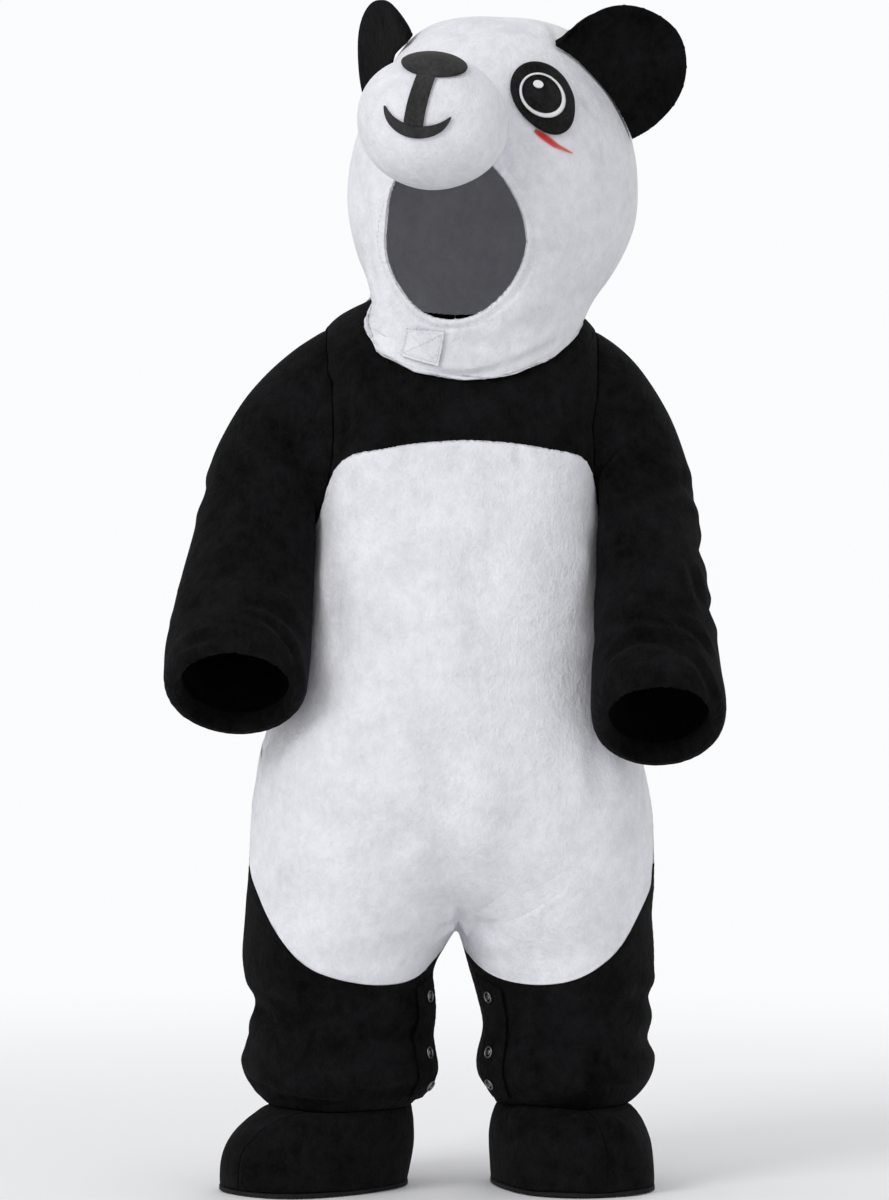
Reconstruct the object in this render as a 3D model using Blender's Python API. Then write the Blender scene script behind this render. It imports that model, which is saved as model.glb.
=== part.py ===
"""Panda costume: a small plush suit with closed feet and a hooded head, hollow, posed as worn.

Lengths in the tables are millimetres and heights are measured up from the soles. X runs to the
viewer's right, the costume faces -Y and Z is up. Every cloth piece is a wall of one thickness that
follows a smooth surface: the suit's own surface, the hood's, a sleeve's or a bootie's. Left and right
are the viewer's.
"""

import math

import bpy
import numpy as np

# Driving sizes
CLOTH = 2.0  # thickness of the plush
FELT = 1.2  # thickness of the felt and of the facing strips
SEAM_GAP = 0.3  # between two pieces at a seam, and between a piece and what lies on it
NECK_HEIGHT = 560.0  # the origin, at the middle of the neck opening, where the suit is carried
ANKLE = 54.0  # height of the seam between leg and bootie
CROTCH = 171.0  # height of the crotch point
CROTCH_ROW = 180.0  # side height of the row that ends at the crotch point
HIP_ROW = 264.0  # side height of the lowest row that is one closed ring
NECK_LAP = 3.0  # how far the neck edge lies above the hood's hem, under the hood
TORSO_YAW = math.radians(4.0)  # the chest turns a little to the viewer's right
SIDE_SEAM = -0.05  # where the side and shoulder seams run, just in front of the middle
SIDES = {"left": -1, "right": 1}
BOXY = 0.045  # how much fuller than an ellipse the torso's sections are
SLEEVE_LENGTH = 230.0
SLEEVE_SET_IN = 0.28  # share of the sleeve over which the armhole's shape turns into a plain ring
SLEEVE_CLEARANCE = 3.6  # between the sleeve's middle surface and the suit's
SLEEVE_PLACES = np.concatenate([[0.035], np.linspace(0.09, 1, 13)])  # of its rings, 0 armhole, 1 cuff
HEM_EASE = 1.7  # between the yoke and the hood's hem over it
PANEL_PULL = 0.3  # how far a seam edge of the suit's panels is drawn in
LEG_PULL = 0.25  # and of the leg pieces

# Number of cells in the panels
PANEL_COLUMNS = 10  # from side seam to centre, on each half of a panel
YOKE_ARMHOLE_ROWS = 6
BODY_ARMHOLE_ROWS = 4
SHOULDER_ROWS = 3
SIDE_ROWS = 12
LEG_ROWS = 14

# Head
HEAD_CENTRE = np.array([26.5, 2.0, 664.0])
HEAD_YAW = math.radians(-15.0)
HEAD_ROLL = math.radians(4.0)
HEM_ELEVATION = -60.0
HEM_BLEND = (-20.0, -45.0)  # elevation where the hood starts to bend to its hem: sides and back, front
LOWEST = (-43.0, -60.0)  # and the lowest elevation of its free shape
HOOD_ROWS = 8  # from the face opening to the hood front's outer edge

# Seam from ear to ear
CROWN_BACK = 0.05  # how far the ear-to-ear seam lies behind the middle at the crown
SEAM_SWEEP = 0.4  # how far it sweeps back at the sides
SEAM_FOOT = 150.0  # angle from the crown to the foot of that seam, in degrees
SIDE_SEAM_ROWS = 9
CROWN_CORNER = 40.0  # angle from the crown where the hood back's grid has its upper corners
CROWN_COLUMNS = 10
BIB_COLUMNS = 12
SEAM_SHARE = 0.72  # of the turn round the face opening that looks to this seam, the rest to the bib

# Face opening, in degrees of the head
FACE_MIDDLE = -20.5
FACE_HALF_WIDTH = 28.0
FACE_HALF_HEIGHT = 27.0
FACE_JAW = 0.35  # how much wider the lower half of the opening is
FACE_DART = 0.25  # how much the dart beside the muzzle narrows the top of the opening on the right

# Eyes: half sizes across and up in mm, places and offsets on the hood
EASE = 0.5  # between two curved layers that lie on each other
THREAD = 0.8  # thickness of the satin-stitched eye ring
HOOD_RADIUS = 100.0  # by which millimetres on the hood are turned into directions
EYE_AZIMUTH = 35.0
EYE_ELEVATION = 28.5
EYE_PATCH = (22.5, 27.0)
EYE_EGG = 0.12  # how much wider the patch is above than below
EYE_TILT = 20.0  # how far the lower end of the patch leans outwards, in degrees
EYE_RING = 16.0  # radius
EYE_RING_BAND = (0.84, 1.0)  # inner and outer edge, as shares of it
EYE_RING_PLACE = (2.0, 1.5)  # from the middle of the patch, inwards and up
EYE_GLINT = (3.6, 2.9)
EYE_GLINT_PLACE = (5.0, 8.0)

# Tab under the chin
TAB_EASE = 1.0
TAB_TURNS = (-12.0, 3.5)  # azimuths of its ends
TAB_LIFTS = (-54.4, -49.0)  # elevations of its edges
TAB_SLANT = -4.5  # how far its upper edge lies aside from its lower one, in degrees

# Ears
EAR_HALF_BASE = 48.0  # half the length sewn to the hood
EAR_PADDING = 10.0  # thickness at the foot
EAR_EDGE = 3.0  # and at the rim
EAR_HOLLOW = 5.0  # how far the front is dished
EAR_ROWS = 6
EAR_COLUMNS = 12
EAR_TUCK = 4.0  # degrees by which the rim stops short of the hood

# Muzzle: half sizes across, along and up, in the head's directions from the head's centre
MUZZLE_SIZE = (50.0, 40.0, 44.0)
MUZZLE_PLACE = (-9.0, -124.0, 24.0)
MUZZLE_ROLL = math.radians(7.0)
MUZZLE_TURN = 116.0  # how far the dome runs from its tip to its foot, in degrees
MUZZLE_DOME_ROWS = 8
MUZZLE_BASE_SHARES = (0.97, 0.66, 0.33, 0.0)  # rings of its underside, as shares of the foot
MUZZLE_EASE = 0.9
MUZZLE_GIRTH = 45.0  # radius by which millimetres on the muzzle are turned into angles
NOSE = (23.5, 16.0)
NOSE_EGG = 0.1
NOSE_HEIGHT = 42.5  # above the muzzle's tip
NOSE_LINE = 11.0  # width of the line below the nose
MOUTH_RADIUS = 21.0
MOUTH_MIDDLE = 10.0
MOUTH_THICK = 8.0
MOUTH_ENDS = (200, 340)  # angles of the smile's corners, in degrees
MOUTH_TIP = 0.06  # how blunt the corners are

# Inseam
FACING_EASE = 0.9
FACING_FOOT = 62.0  # height of the strip's lower end
FACING_END = 5.0  # below the thigh seam
FACING_START = -0.90  # turn of the strip's edge at the inseam
FACING_TURN = 0.13  # width of the strip, in turns
SNAP_HEIGHTS = (72.0, 92.0, 131.0)
SNAP_RADIUS = 4.0
SNAP_THICK = 1.4

# Feet: centre x and y, degrees that the toe turns out, number of the ankle ring's point above the toe
FEET = {"left": (-91.0, -4.0, 46.0, 7), "right": (79.0, 3.0, 18.0, 6)}
FOOT_HALF_LENGTH = 66.0
FOOT_HALF_WIDTH = 51.0
FOOT_SQUARENESS = 0.8  # below 1 is fuller than an oval
SOLE = 3.0  # thickness
SOLE_RIM = 0.6  # how far the sole stands out from the upper
BOOT_ROWS = 6
BOOT_BULGE = 4.0  # how far the upper bulges out at half its height
# How the upper leaves the sole and meets the leg: up and towards the toe at the sole, towards the toe
# and down at the ankle
BOOT_FRONT = (36.0, 5.0, 26.0, 4.0)
BOOT_BACK = (20.0, -7.0, -5.0, 18.0)


class Profile:
    """A smooth curve through the rows of a table, whose first column is the key."""

    def __init__(self, rows):
        table = np.array(rows, float)
        self.keys = table[:, 0]
        self.values = table[:, 1:]
        self.slopes = np.gradient(self.values, self.keys, axis=0)

    def __call__(self, key):
        key = min(max(key, self.keys[0]), self.keys[-1])
        i = min(int(np.searchsorted(self.keys, key, side="right")) - 1, len(self.keys) - 2)
        step = self.keys[i + 1] - self.keys[i]
        f = (key - self.keys[i]) / step
        return (
            (2 * f**3 - 3 * f**2 + 1) * self.values[i]
            + (f**3 - 2 * f**2 + f) * step * self.slopes[i]
            + (3 * f**2 - 2 * f**3) * self.values[i + 1]
            + (f**3 - f**2) * step * self.slopes[i + 1]
        )


# side height, how far the front and the back lie below it, centre x, half width, front and back depth
TORSO = Profile(
    [
        (54, 0, 0, 3, 134, 92, 92),
        (170, 0, 0, 3, 134, 92, 92),
        (215, 0, 0, 1, 134, 97, 96),
        (264, 0, 0, -1, 129, 101, 94),
        (300, 3, 0, -1, 121, 104, 90),
        (340, 6, 0, 0, 109, 104, 86),
        (380, 8, 0, 1, 100, 100, 84),
        (420, 10, 0, 2, 96, 94, 84),
        (460, 14, 1, 3, 95, 87, 85),
        (500, 20, 3, 4, 95, 80, 84),
        (535, 27, 4, 5, 95, 74, 79),
        (555, 31, 3, 5, 92, 67, 71),
        (567, 32, 0, 6, 86, 61, 63),
        (577, 31, -3, 6, 74, 55, 54),
        (585, 28, -5, 6, 54, 47, 44),
        (592, 26, -6, 6, 42, 42, 39),
    ]
)

# height, inner edge and outer edge from the middle, half depth, centre y
LEGS = {
    "left": Profile(
        [
            (54, 31, 123, 45, 2),
            (60, 25, 129, 51, 2),
            (72, 14, 140, 60, 1),
            (90, 15, 142, 62, 0),
            (104, 17, 137, 59, 0),
            (117, 15, 134, 58, 0),
            (135, 16, 139, 60, 0),
            (150, 17, 142, 63, 0),
            (166, 9, 141, 68, 0),
            (180, 0, 139, 74, 0),
            (215, 0, 136, 84, 0),
            (264, 0, 129, 92, 0),
        ]
    ),
    "right": Profile(
        [
            (54, 28, 113, 45, 2),
            (60, 24, 119, 51, 2),
            (72, 15, 130, 59, 1),
            (90, 14, 129, 61, 0),
            (107, 18, 127, 57, 0),
            (130, 14, 128, 59, 0),
            (150, 9, 129, 63, 0),
            (166, 5, 129, 68, 0),
            (180, 0, 128, 74, 0),
            (215, 0, 131, 84, 0),
            (264, 0, 129, 92, 0),
        ]
    ),
}

# The largest folds of the legs and the seat: side, height, turn of the middle, rise in mm per turn,
# half height, half length in turns, depth
FOLDS = [
    ("left", 117, -0.30, 14, 8, 0.50, -5.0),
    ("left", 99, -0.62, -16, 7, 0.30, -3.0),
    ("left", 119, 0.50, -12, 8, 0.45, -4.5),
    ("left", 204, 0.62, 16, 10, 0.32, -4.0),
    ("left", 214, -0.78, -40, 9, 0.18, -2.0),
    ("right", 111, -0.38, -14, 8, 0.50, -5.0),
    ("right", 96, -0.60, 16, 7, 0.28, -3.0),
    ("right", 114, 0.46, 12, 8, 0.45, -4.5),
    ("right", 208, 0.64, 14, 10, 0.30, -3.5),
    ("right", 222, -0.76, -44, 9, 0.18, -2.0),
]

# turn away from the side seam (0 side, 1 inseam), side height of the thigh seam
THIGH_SEAM = Profile(
    [(0, 212), (0.12, 190), (0.25, 163), (0.4, 145), (0.6, 138), (0.8, 144), (0.92, 155), (1, 166)]
)

# share of the way from armhole to centre, side height of the chest seam
CHEST_SEAM = Profile([(0, 468), (0.1, 479), (0.2, 486), (0.5, 498), (0.75, 507), (1, 511)])

# Armhole: an oval in side height and turn
ARMHOLE_MIDDLE = 498.0
ARMHOLE_HALF_HEIGHT = 66.0
ARMHOLE_HALF_TURN = 0.32

# centre x, centre y, height, half size across, half size in depth, from armhole to cuff
SLEEVES = {
    "left": Profile(
        [
            (0.00, -90, 0, 502, 58, 48),
            (0.16, -109, -4, 486, 46, 47),
            (0.32, -120, -16, 453, 43, 46),
            (0.48, -127, -34, 416, 44, 46),
            (0.64, -133, -56, 383, 45, 45),
            (0.82, -137, -78, 356, 47, 44),
            (1.00, -138, -98, 337, 46, 42),
        ]
    ),
    "right": Profile(
        [
            (0.00, 96, 0, 502, 56, 48),
            (0.16, 110, -4, 482, 43, 47),
            (0.32, 121, -16, 447, 39, 46),
            (0.48, 127, -36, 408, 37, 45),
            (0.64, 129, -60, 372, 39, 45),
            (0.82, 131, -84, 338, 42, 45),
            (1.00, 131, -104, 317, 43, 44),
        ]
    ),
}

# The largest folds of the sleeves: side, place, angle in degrees of the middle, rise in places per
# degree, half width in places, half length in degrees, depth
SLEEVE_FOLDS = [
    ("left", 0.42, 60, 0.0010, 0.055, 75, -4.0),
    ("left", 0.58, 110, -0.0008, 0.050, 60, -3.5),
    ("left", 0.80, 40, 0.0006, 0.045, 60, -3.0),
    ("left", 0.50, 260, 0.0010, 0.060, 70, -4.0),
    ("left", 0.66, 225, -0.0008, 0.050, 50, -3.0),
    ("right", 0.30, 70, -0.0010, 0.055, 60, -3.5),
    ("right", 0.44, 50, 0.0008, 0.050, 65, -4.0),
    ("right", 0.62, 100, 0.0006, 0.050, 60, -3.0),
    ("right", 0.80, 30, -0.0006, 0.045, 55, -3.0),
    ("right", 0.48, 255, 0.0010, 0.060, 70, -4.0),
]

# forward of the last ring, share of its size: the end is turned in over the elastic
CUFF = [(8, 0.985), (13, 0.92), (14, 0.84), (9, 0.79), (0, 0.775)]

# elevation in degrees, radius to the front, to the side, to the back
HOOD = Profile(
    [
        (-60, 147, 122, 132),
        (-50, 133, 114, 122),
        (-40, 120, 106, 117),
        (-20, 105, 98, 115),
        (0, 99, 94, 115),
        (20, 99, 94, 115),
        (40, 103, 97, 114),
        (60, 108, 109, 112),
        (75, 107, 108, 107),
        (90, 105, 105, 105),
    ]
)

# angle round the neck from the front, growing to the viewer's right, and side height of the hood's hem
HOOD_HEM = Profile(
    [
        (-180, 572),
        (-135, 577),
        (-90, 587),
        (-60, 579),
        (-30, 563),
        (0, 556),
        (45, 568),
        (90, 577),
        (135, 574),
        (180, 572),
    ]
)

# Ears: degrees from the crown, how far they stand ahead of the ear-to-ear seam, degrees that they
# look outwards and lean back, radius, height of its centre above the hood
EARS = {
    "left": (-49.0, 0.30, 29.0, 26.0, 50.0, 3.0),
    "right": (50.0, 0.40, 22.0, 10.0, 47.5, 13.5),
}

# Materials

PLUSH_WHITE = ("plush_white", (0.86, 0.86, 0.88), 0.9, 0.0)
PLUSH_BLACK = ("plush_black", (0.012, 0.012, 0.014), 0.85, 0.0)
FELT_DARK = ("felt_dark", (0.03, 0.03, 0.032), 0.9, 0.0)
THREAD_WHITE = ("thread_white", (0.85, 0.85, 0.85), 0.6, 0.0)
SNAP_METAL = ("snap_metal", (0.25, 0.25, 0.26), 0.35, 1.0)


def material(name, finish):
    """A Principled material of one colour, roughness and metallic value."""
    _, colour, roughness, metallic = finish
    made = bpy.data.materials.new(name)
    made.use_nodes = True
    shader = made.node_tree.nodes["Principled BSDF"]
    shader.inputs["Base Color"].default_value = (*colour, 1.0)
    shader.inputs["Roughness"].default_value = roughness
    shader.inputs["Metallic"].default_value = metallic
    return made


# Mesh tools


def add_object(name, vertices, faces, finish):
    """One named object from points in millimetres, moved so that the origin is at the neck."""
    metres = (np.array(vertices) - (0, 0, NECK_HEIGHT)) * 0.001
    mesh = bpy.data.meshes.new(name)
    mesh.from_pydata(metres.tolist(), [], faces)
    mesh.materials.append(material(name, finish))
    mesh.shade_smooth()
    mesh.set_sharp_from_angle(angle=math.radians(50))
    made = bpy.data.objects.new(name, mesh)
    bpy.context.scene.collection.objects.link(made)
    return made


def weld(patches):
    """Joins grids of (points, walls) where their points meet: (points, walls, faces seen from outside)."""
    index, points, walls, faces = {}, [], [], []
    for grid, grid_walls in patches:
        rows, columns = grid.shape[:2]
        ids = np.empty((rows, columns), int)
        for i, j in np.ndindex(rows, columns):
            key = tuple(np.round(grid[i, j], 2) + 0.0)
            if key not in index:
                index[key] = len(points)
                points.append(grid[i, j])
                walls.append(grid_walls[i, j])
            ids[i, j] = index[key]
        across = grid[:-1, 1:] - grid[:-1, :-1]
        along = grid[1:, :-1] - grid[:-1, :-1]
        facing = (np.cross(across, along) * grid_walls[:-1, :-1]).sum()
        for i, j in np.ndindex(rows - 1, columns - 1):
            loop = [ids[i, j], ids[i, j + 1], ids[i + 1, j + 1], ids[i + 1, j]]
            loop = [int(a) for k, a in enumerate(loop) if a != loop[k - 1]]
            if len(loop) > 2:
                faces.append(loop if facing > 0 else loop[::-1])
    return np.array(points), np.array(walls), faces


def add_cloth(name, patches, finish):
    """A closed wall: each patch is a grid of middle points and a grid of half-thickness vectors."""
    points, walls, faces = weld(patches)
    count = len(points)
    edges = {(loop[k - 1], loop[k]) for loop in faces for k in range(len(loop))}
    rim = [(b, a, a + count, b + count) for a, b in sorted(edges) if (b, a) not in edges]
    inside = [[a + count for a in reversed(loop)] for loop in faces]
    return add_object(name, np.vstack([points + walls, points - walls]), faces + inside + rim, finish)


def add_solid(name, patches, finish):
    """A closed body from grids that cover its whole surface, with the directions that face out."""
    points, _, faces = weld(patches)
    return add_object(name, points, faces, finish)


def unit(vector):
    return vector / np.maximum(np.linalg.norm(vector, axis=-1, keepdims=True), 1e-9)


def grid_normals(grid, out_from=None):
    """Outward unit normals of a grid, turned away from the points of out_from where it is given."""
    across = np.gradient(grid, axis=1)
    if np.allclose(grid[:, 0], grid[:, -1], atol=1e-6):
        across[:, 0] = across[:, -1] = grid[:, 1] - grid[:, -2]
    normals = unit(np.cross(across, np.gradient(grid, axis=0)))
    if out_from is not None and ((grid - out_from) * normals).sum() < 0:
        normals = -normals
    return normals


def pull_back(grid, normals, edges, amount=SEAM_GAP / 2):
    """Draws the named edges of a grid in by half a seam gap, square to the seam."""
    places = {
        "first_row": (np.s_[0], np.s_[1]),
        "last_row": (np.s_[-1], np.s_[-2]),
        "first_column": (np.s_[:, 0], np.s_[:, 1]),
        "last_column": (np.s_[:, -1], np.s_[:, -2]),
    }
    moved = grid.copy()
    for edge in edges:
        place, inner = places[edge]
        inward = unit(np.cross(normals[place], np.gradient(grid[place], axis=0)))
        inward *= np.sign((inward * (grid[inner] - grid[place])).sum(axis=1, keepdims=True))
        if np.allclose(grid[place][0], grid[place][-1], atol=1e-6):
            inward[0] = inward[-1] = unit(inward[0] + inward[-1])
        moved[place] += amount * inward
    return moved


def coons(bottom, top, left, right):
    """The grid between four edges: bottom and top run left to right, left and right bottom to top."""
    v = np.linspace(0, 1, len(left))[:, None, None]
    u = np.linspace(0, 1, len(bottom))[None, :, None]
    ruled = (1 - v) * bottom[None] + v * top[None] + (1 - u) * left[:, None] + u * right[:, None]
    corners = (1 - v) * (1 - u) * bottom[0] + (1 - v) * u * bottom[-1]
    return ruled - corners - v * (1 - u) * top[0] - v * u * top[-1]


def ramp(value):
    """Runs smoothly from 0 to 1 as the value does."""
    value = min(max(value, 0.0), 1.0)
    return value * value * (3 - 2 * value)


# The suit's surface


def fold_depth(side, height, turn):
    """How far the folds of the legs and the seat move the surface out at a place."""
    moved = 0.0
    for fold_side, middle, middle_turn, rise, half_height, half_length, depth in FOLDS:
        along = (turn - middle_turn) / half_length
        if fold_side == side and abs(along) < 1:
            across = (height - middle - rise * (turn - middle_turn)) / half_height
            moved += depth * ramp(1 - abs(along)) * math.exp(-across * across)
    return moved * ramp((1 - abs(turn)) / 0.1)


def body_middle(side, height, turn):
    """A point of the suit's smooth surface. The height is that of its row at the side, and turn runs
    from -1 at centre front or inseam, past 0 at the side, to 1 at centre back or inseam."""
    sign = SIDES[side]
    front_drop, back_drop, centre, half, front, back = TORSO(height)
    around = (turn + 1) * math.pi / 2
    depth, drop = (front, front_drop) if turn < 0 else (back, back_drop)
    x = half * (math.sin(around) + BOXY * math.sin(3 * around)) / (1 - BOXY)
    y = -depth * (math.cos(around) - BOXY * math.cos(3 * around)) / (1 - BOXY)
    z = height - drop * math.cos(around) ** 2
    if height < HIP_ROW:
        inner, outer, leg_depth, leg_y = LEGS[side](height)
        inner = inner if height < CROTCH_ROW else 0
        fall = min((HIP_ROW - height) / (HIP_ROW - CROTCH_ROW), 1) * math.pi / 2
        leg = 1 - math.cos(fall)
        inner_z = HIP_ROW - (HIP_ROW - CROTCH) * math.sin(fall)
        if height < CROTCH_ROW:
            inner_z = ANKLE + (CROTCH - ANKLE) * (height - ANKLE) / (CROTCH_ROW - ANKLE)
        leg_x = (inner + outer) / 2 - (outer - inner) / 2 * math.cos(2 * around)
        x += leg * (leg_x - x)
        y += leg * (leg_y - leg_depth * math.sin(2 * around) - y)
        z += (inner_z - height) * abs(turn) ** 2.5
        fold = fold_depth(side, height, turn)
        x += fold * (math.sin(around) - leg * (math.sin(around) + math.cos(2 * around)))
        y += fold * (leg * (math.cos(around) - math.sin(2 * around)) - math.cos(around))
    x = centre + sign * x
    return np.array(
        [
            x * math.cos(TORSO_YAW) - y * math.sin(TORSO_YAW),
            x * math.sin(TORSO_YAW) + y * math.cos(TORSO_YAW),
            z,
        ]
    )


def body_normal(side, height, turn):
    """The outward unit normal of the suit's surface."""
    step_turn, step_height = 0.01, 1.0
    low, high = max(turn - step_turn, -1), min(turn + step_turn, 1)
    across = body_middle(side, height, high) - body_middle(side, height, low)
    up = body_middle(side, height + step_height, turn) - body_middle(side, height - step_height, turn)
    normal = np.cross(up, across) * -SIDES[side]
    if abs(turn) > 0.999 and height > CROTCH_ROW - 0.01:
        sideways = np.array([math.cos(TORSO_YAW), math.sin(TORSO_YAW), 0])
        normal = normal - (normal @ sideways) * sideways
    return unit(normal)


def body_grid(side, plan):
    """Points and normals of the suit for a grid of (height, turn)."""
    shape = plan.shape[:2]
    points, normals = np.empty((*shape, 3)), np.empty((*shape, 3))
    for i, j in np.ndindex(*shape):
        points[i, j] = body_middle(side, *plan[i, j])
        normals[i, j] = body_normal(side, *plan[i, j])
    return points, normals


def line(start, end, count):
    """Evenly spaced (height, turn) places from start to end."""
    return np.linspace(start, end, count + 1)


# Seams of the suit, as (height, turn) places. face is -1 for the front and 1 for the back.


def armhole(face, start, end, count):
    """Part of the armhole between two angles, 0 at the shoulder and 180 under the arm."""
    angles = np.radians(np.linspace(start, end, count + 1))
    heights = ARMHOLE_MIDDLE + ARMHOLE_HALF_HEIGHT * np.cos(angles)
    return np.stack([heights, SIDE_SEAM + face * ARMHOLE_HALF_TURN * np.sin(angles)], axis=1)


CHEST_ANGLE = math.degrees(math.acos((CHEST_SEAM(0)[0] - ARMHOLE_MIDDLE) / ARMHOLE_HALF_HEIGHT))


def chest_seam(face):
    """The arched seam from the armhole to the centre."""
    start = armhole(face, CHEST_ANGLE, CHEST_ANGLE, 0)[0, 1]
    shares = np.linspace(0, 1, PANEL_COLUMNS + 1)
    return np.array([(CHEST_SEAM(share)[0], start + share * (face - start)) for share in shares])


def thigh_seam(face):
    """The seam round the thigh, from the side seam to the inseam."""
    turns = np.linspace(SIDE_SEAM, face, PANEL_COLUMNS + 1)
    shares = (turns - SIDE_SEAM) / (face - SIDE_SEAM)
    return np.array([(THIGH_SEAM(share)[0], turn) for share, turn in zip(shares, turns)])


def neck_edge(side, face):
    """The neck edge from the shoulder seam to the centre, just above the hood's hem."""
    turns = np.linspace(SIDE_SEAM, face, PANEL_COLUMNS + 1)
    return np.array([(HOOD_HEM(SIDES[side] * 90 * (turn + 1))[0] + NECK_LAP, turn) for turn in turns])


def yoke_plan(side, face):
    """Grid of a half yoke: rows from the chest seam to the neck, columns from armhole to centre."""
    chest = chest_seam(face)
    hole = armhole(face, CHEST_ANGLE, 0, YOKE_ARMHOLE_ROWS)
    neck = neck_edge(side, face)
    shoulder = line(hole[-1], neck[0], SHOULDER_ROWS)
    rows = YOKE_ARMHOLE_ROWS + SHOULDER_ROWS
    return coons(chest, neck, np.vstack([hole, shoulder[1:]]), line(chest[-1], neck[-1], rows))


def body_plan(face):
    """Grid of a half body: rows from the thigh seam to the chest seam, columns from side to centre."""
    chest, thigh = chest_seam(face), thigh_seam(face)
    hole = armhole(face, 180, CHEST_ANGLE, BODY_ARMHOLE_ROWS)
    side = line(thigh[0], hole[0], SIDE_ROWS)
    inseam = line(thigh[-1], (CROTCH_ROW, face), 1)
    rise = line(inseam[-1], chest[-1], SIDE_ROWS + BODY_ARMHOLE_ROWS - 1)
    return coons(thigh, chest, np.vstack([side, hole[1:]]), np.vstack([inseam, rise[1:]]))


def leg_plan(face):
    """Grid of a half leg: rows from the ankle to the thigh seam, columns from side seam to inseam."""
    thigh = thigh_seam(face)
    ankle = line((ANKLE, SIDE_SEAM), (ANKLE, face), PANEL_COLUMNS)
    side = line(ankle[0], thigh[0], LEG_ROWS)
    return coons(ankle, thigh, side, line(ankle[-1], thigh[-1], LEG_ROWS))


def panel(side, plan, edges, armhole_rows=None, walls_at_hole=None, pull=PANEL_PULL):
    """(points, walls) of one half of a panel, with its seam edges drawn in."""
    points, normals = body_grid(side, plan)
    walls = normals * CLOTH / 2
    if walls_at_hole is not None:
        walls[armhole_rows, 0] = walls_at_hole
    return pull_back(points, normals, edges, pull), walls


# Sleeves


def ring_frame(side, place):
    """Centre, outward, forward and along directions of a sleeve at a place from 0 to 1."""
    row = SLEEVES[side](place)
    ahead = SLEEVES[side](min(place + 0.02, 1))[:3] - SLEEVES[side](max(place - 0.02, 0))[:3]
    along = unit(ahead)
    forward = unit(np.array([0, -1, 0]) + along[1] * along)
    outward = np.cross(forward, along)
    if outward[0] * SIDES[side] + outward[2] < 0:
        outward = -outward
    return row[:3], outward, forward, along, row[3], row[4]


def armhole_loop(side):
    """Points of the whole armhole, from the shoulder down the front and up the back."""
    above = armhole(-1, 0, CHEST_ANGLE, YOKE_ARMHOLE_ROWS)
    below = armhole(-1, CHEST_ANGLE, 180, BODY_ARMHOLE_ROWS)
    front = np.vstack([above, below[1:]])
    back = np.stack([front[:, 0], 2 * SIDE_SEAM - front[:, 1]], axis=1)
    plan = np.vstack([front, back[-2::-1]])
    return body_grid(side, plan[None])


def sleeve_angles():
    """Angle of each armhole point round the sleeve, 0 outside, 90 in front, 180 inside."""
    front = np.concatenate(
        [
            np.linspace(0, CHEST_ANGLE, YOKE_ARMHOLE_ROWS + 1),
            np.linspace(CHEST_ANGLE, 180, BODY_ARMHOLE_ROWS + 1)[1:],
        ]
    )
    return np.radians(np.concatenate([front, 360 - front[-2::-1]]))


def clear_of_suit(point, clearance):
    """Moves a point out of the suit's body, to lie a clearance outside it at its own height."""
    x = point[0] * math.cos(TORSO_YAW) + point[1] * math.sin(TORSO_YAW)
    y = point[1] * math.cos(TORSO_YAW) - point[0] * math.sin(TORSO_YAW)
    front_drop, _, centre, half, front, back = TORSO(point[2])
    depth = front if y < 0 else back
    around = math.atan2((x - centre) / half, -y / depth)
    boxy_x = math.sin(around) + BOXY * math.sin(3 * around)
    boxy_y = math.cos(around) - BOXY * math.cos(3 * around)
    reach = math.hypot(boxy_x, boxy_y) / (1 - BOXY) + clearance / half
    inside = reach / max(math.hypot((x - centre) / half, y / depth), 1e-6)
    if inside <= 1:
        return point
    x, y = centre + (x - centre) * inside, y * inside
    return np.array(
        [
            x * math.cos(TORSO_YAW) - y * math.sin(TORSO_YAW),
            x * math.sin(TORSO_YAW) + y * math.cos(TORSO_YAW),
            point[2],
        ]
    )


def sleeve_folds(side, place, angles):
    """How far the sleeve's folds move a ring out, for each of its angles."""
    moved = np.zeros(len(angles))
    for fold_side, middle, angle, rise, half_width, half_length, depth in SLEEVE_FOLDS:
        if fold_side != side:
            continue
        apart = (np.degrees(angles) - angle + 180) % 360 - 180
        across = (place - middle - rise * apart) / half_width
        along = np.clip(1 - np.abs(apart) / half_length, 0, 1)
        moved += depth * along * along * (3 - 2 * along) * np.exp(-across * across)
    return moved


def sleeve_grid(side):
    """Rings of the sleeve from the armhole to the turned-in cuff."""
    hole = armhole_loop(side)[0][0]
    angles = sleeve_angles()
    low = (1 - np.cos(angles)) / 2
    start = unit(np.stack([SIDES[side] + 0 * low, 0 * low, -0.6 + 0.5 * low], axis=1))
    rings = [hole]
    for place in SLEEVE_PLACES:
        centre, outward, forward, along, across, deep = ring_frame(side, place)
        ring = centre + np.outer(np.cos(angles) * across, outward)
        ring += np.outer(np.sin(angles) * deep, forward)
        started = hole + start * place * SLEEVE_LENGTH
        ring = started + ramp(place / SLEEVE_SET_IN) * (ring - started)
        ring += sleeve_folds(side, place, angles)[:, None] * (
            np.outer(np.cos(angles), outward) + np.outer(np.sin(angles), forward)
        )
        clearance = SLEEVE_CLEARANCE * ramp(place / 0.05)
        rings.append(np.array([clear_of_suit(point, clearance) for point in ring]))
    end_centre, outward, forward, along, across, deep = ring_frame(side, 1)
    for ahead, share in CUFF:
        centre = end_centre + along * ahead
        size_out, size_forward = np.cos(angles) * across * share, np.sin(angles) * deep * share
        rings.append(centre + np.outer(size_out, outward) + np.outer(size_forward, forward))
    return np.array(rings)


def mitre(first, second, thickness=CLOTH):
    """Half-wall vectors at a seam between two surfaces with these outward normals."""
    shared = unit(first + second)
    slant = np.maximum((shared * first).sum(axis=-1, keepdims=True), 0.9)
    return shared / slant * thickness / 2


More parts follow.
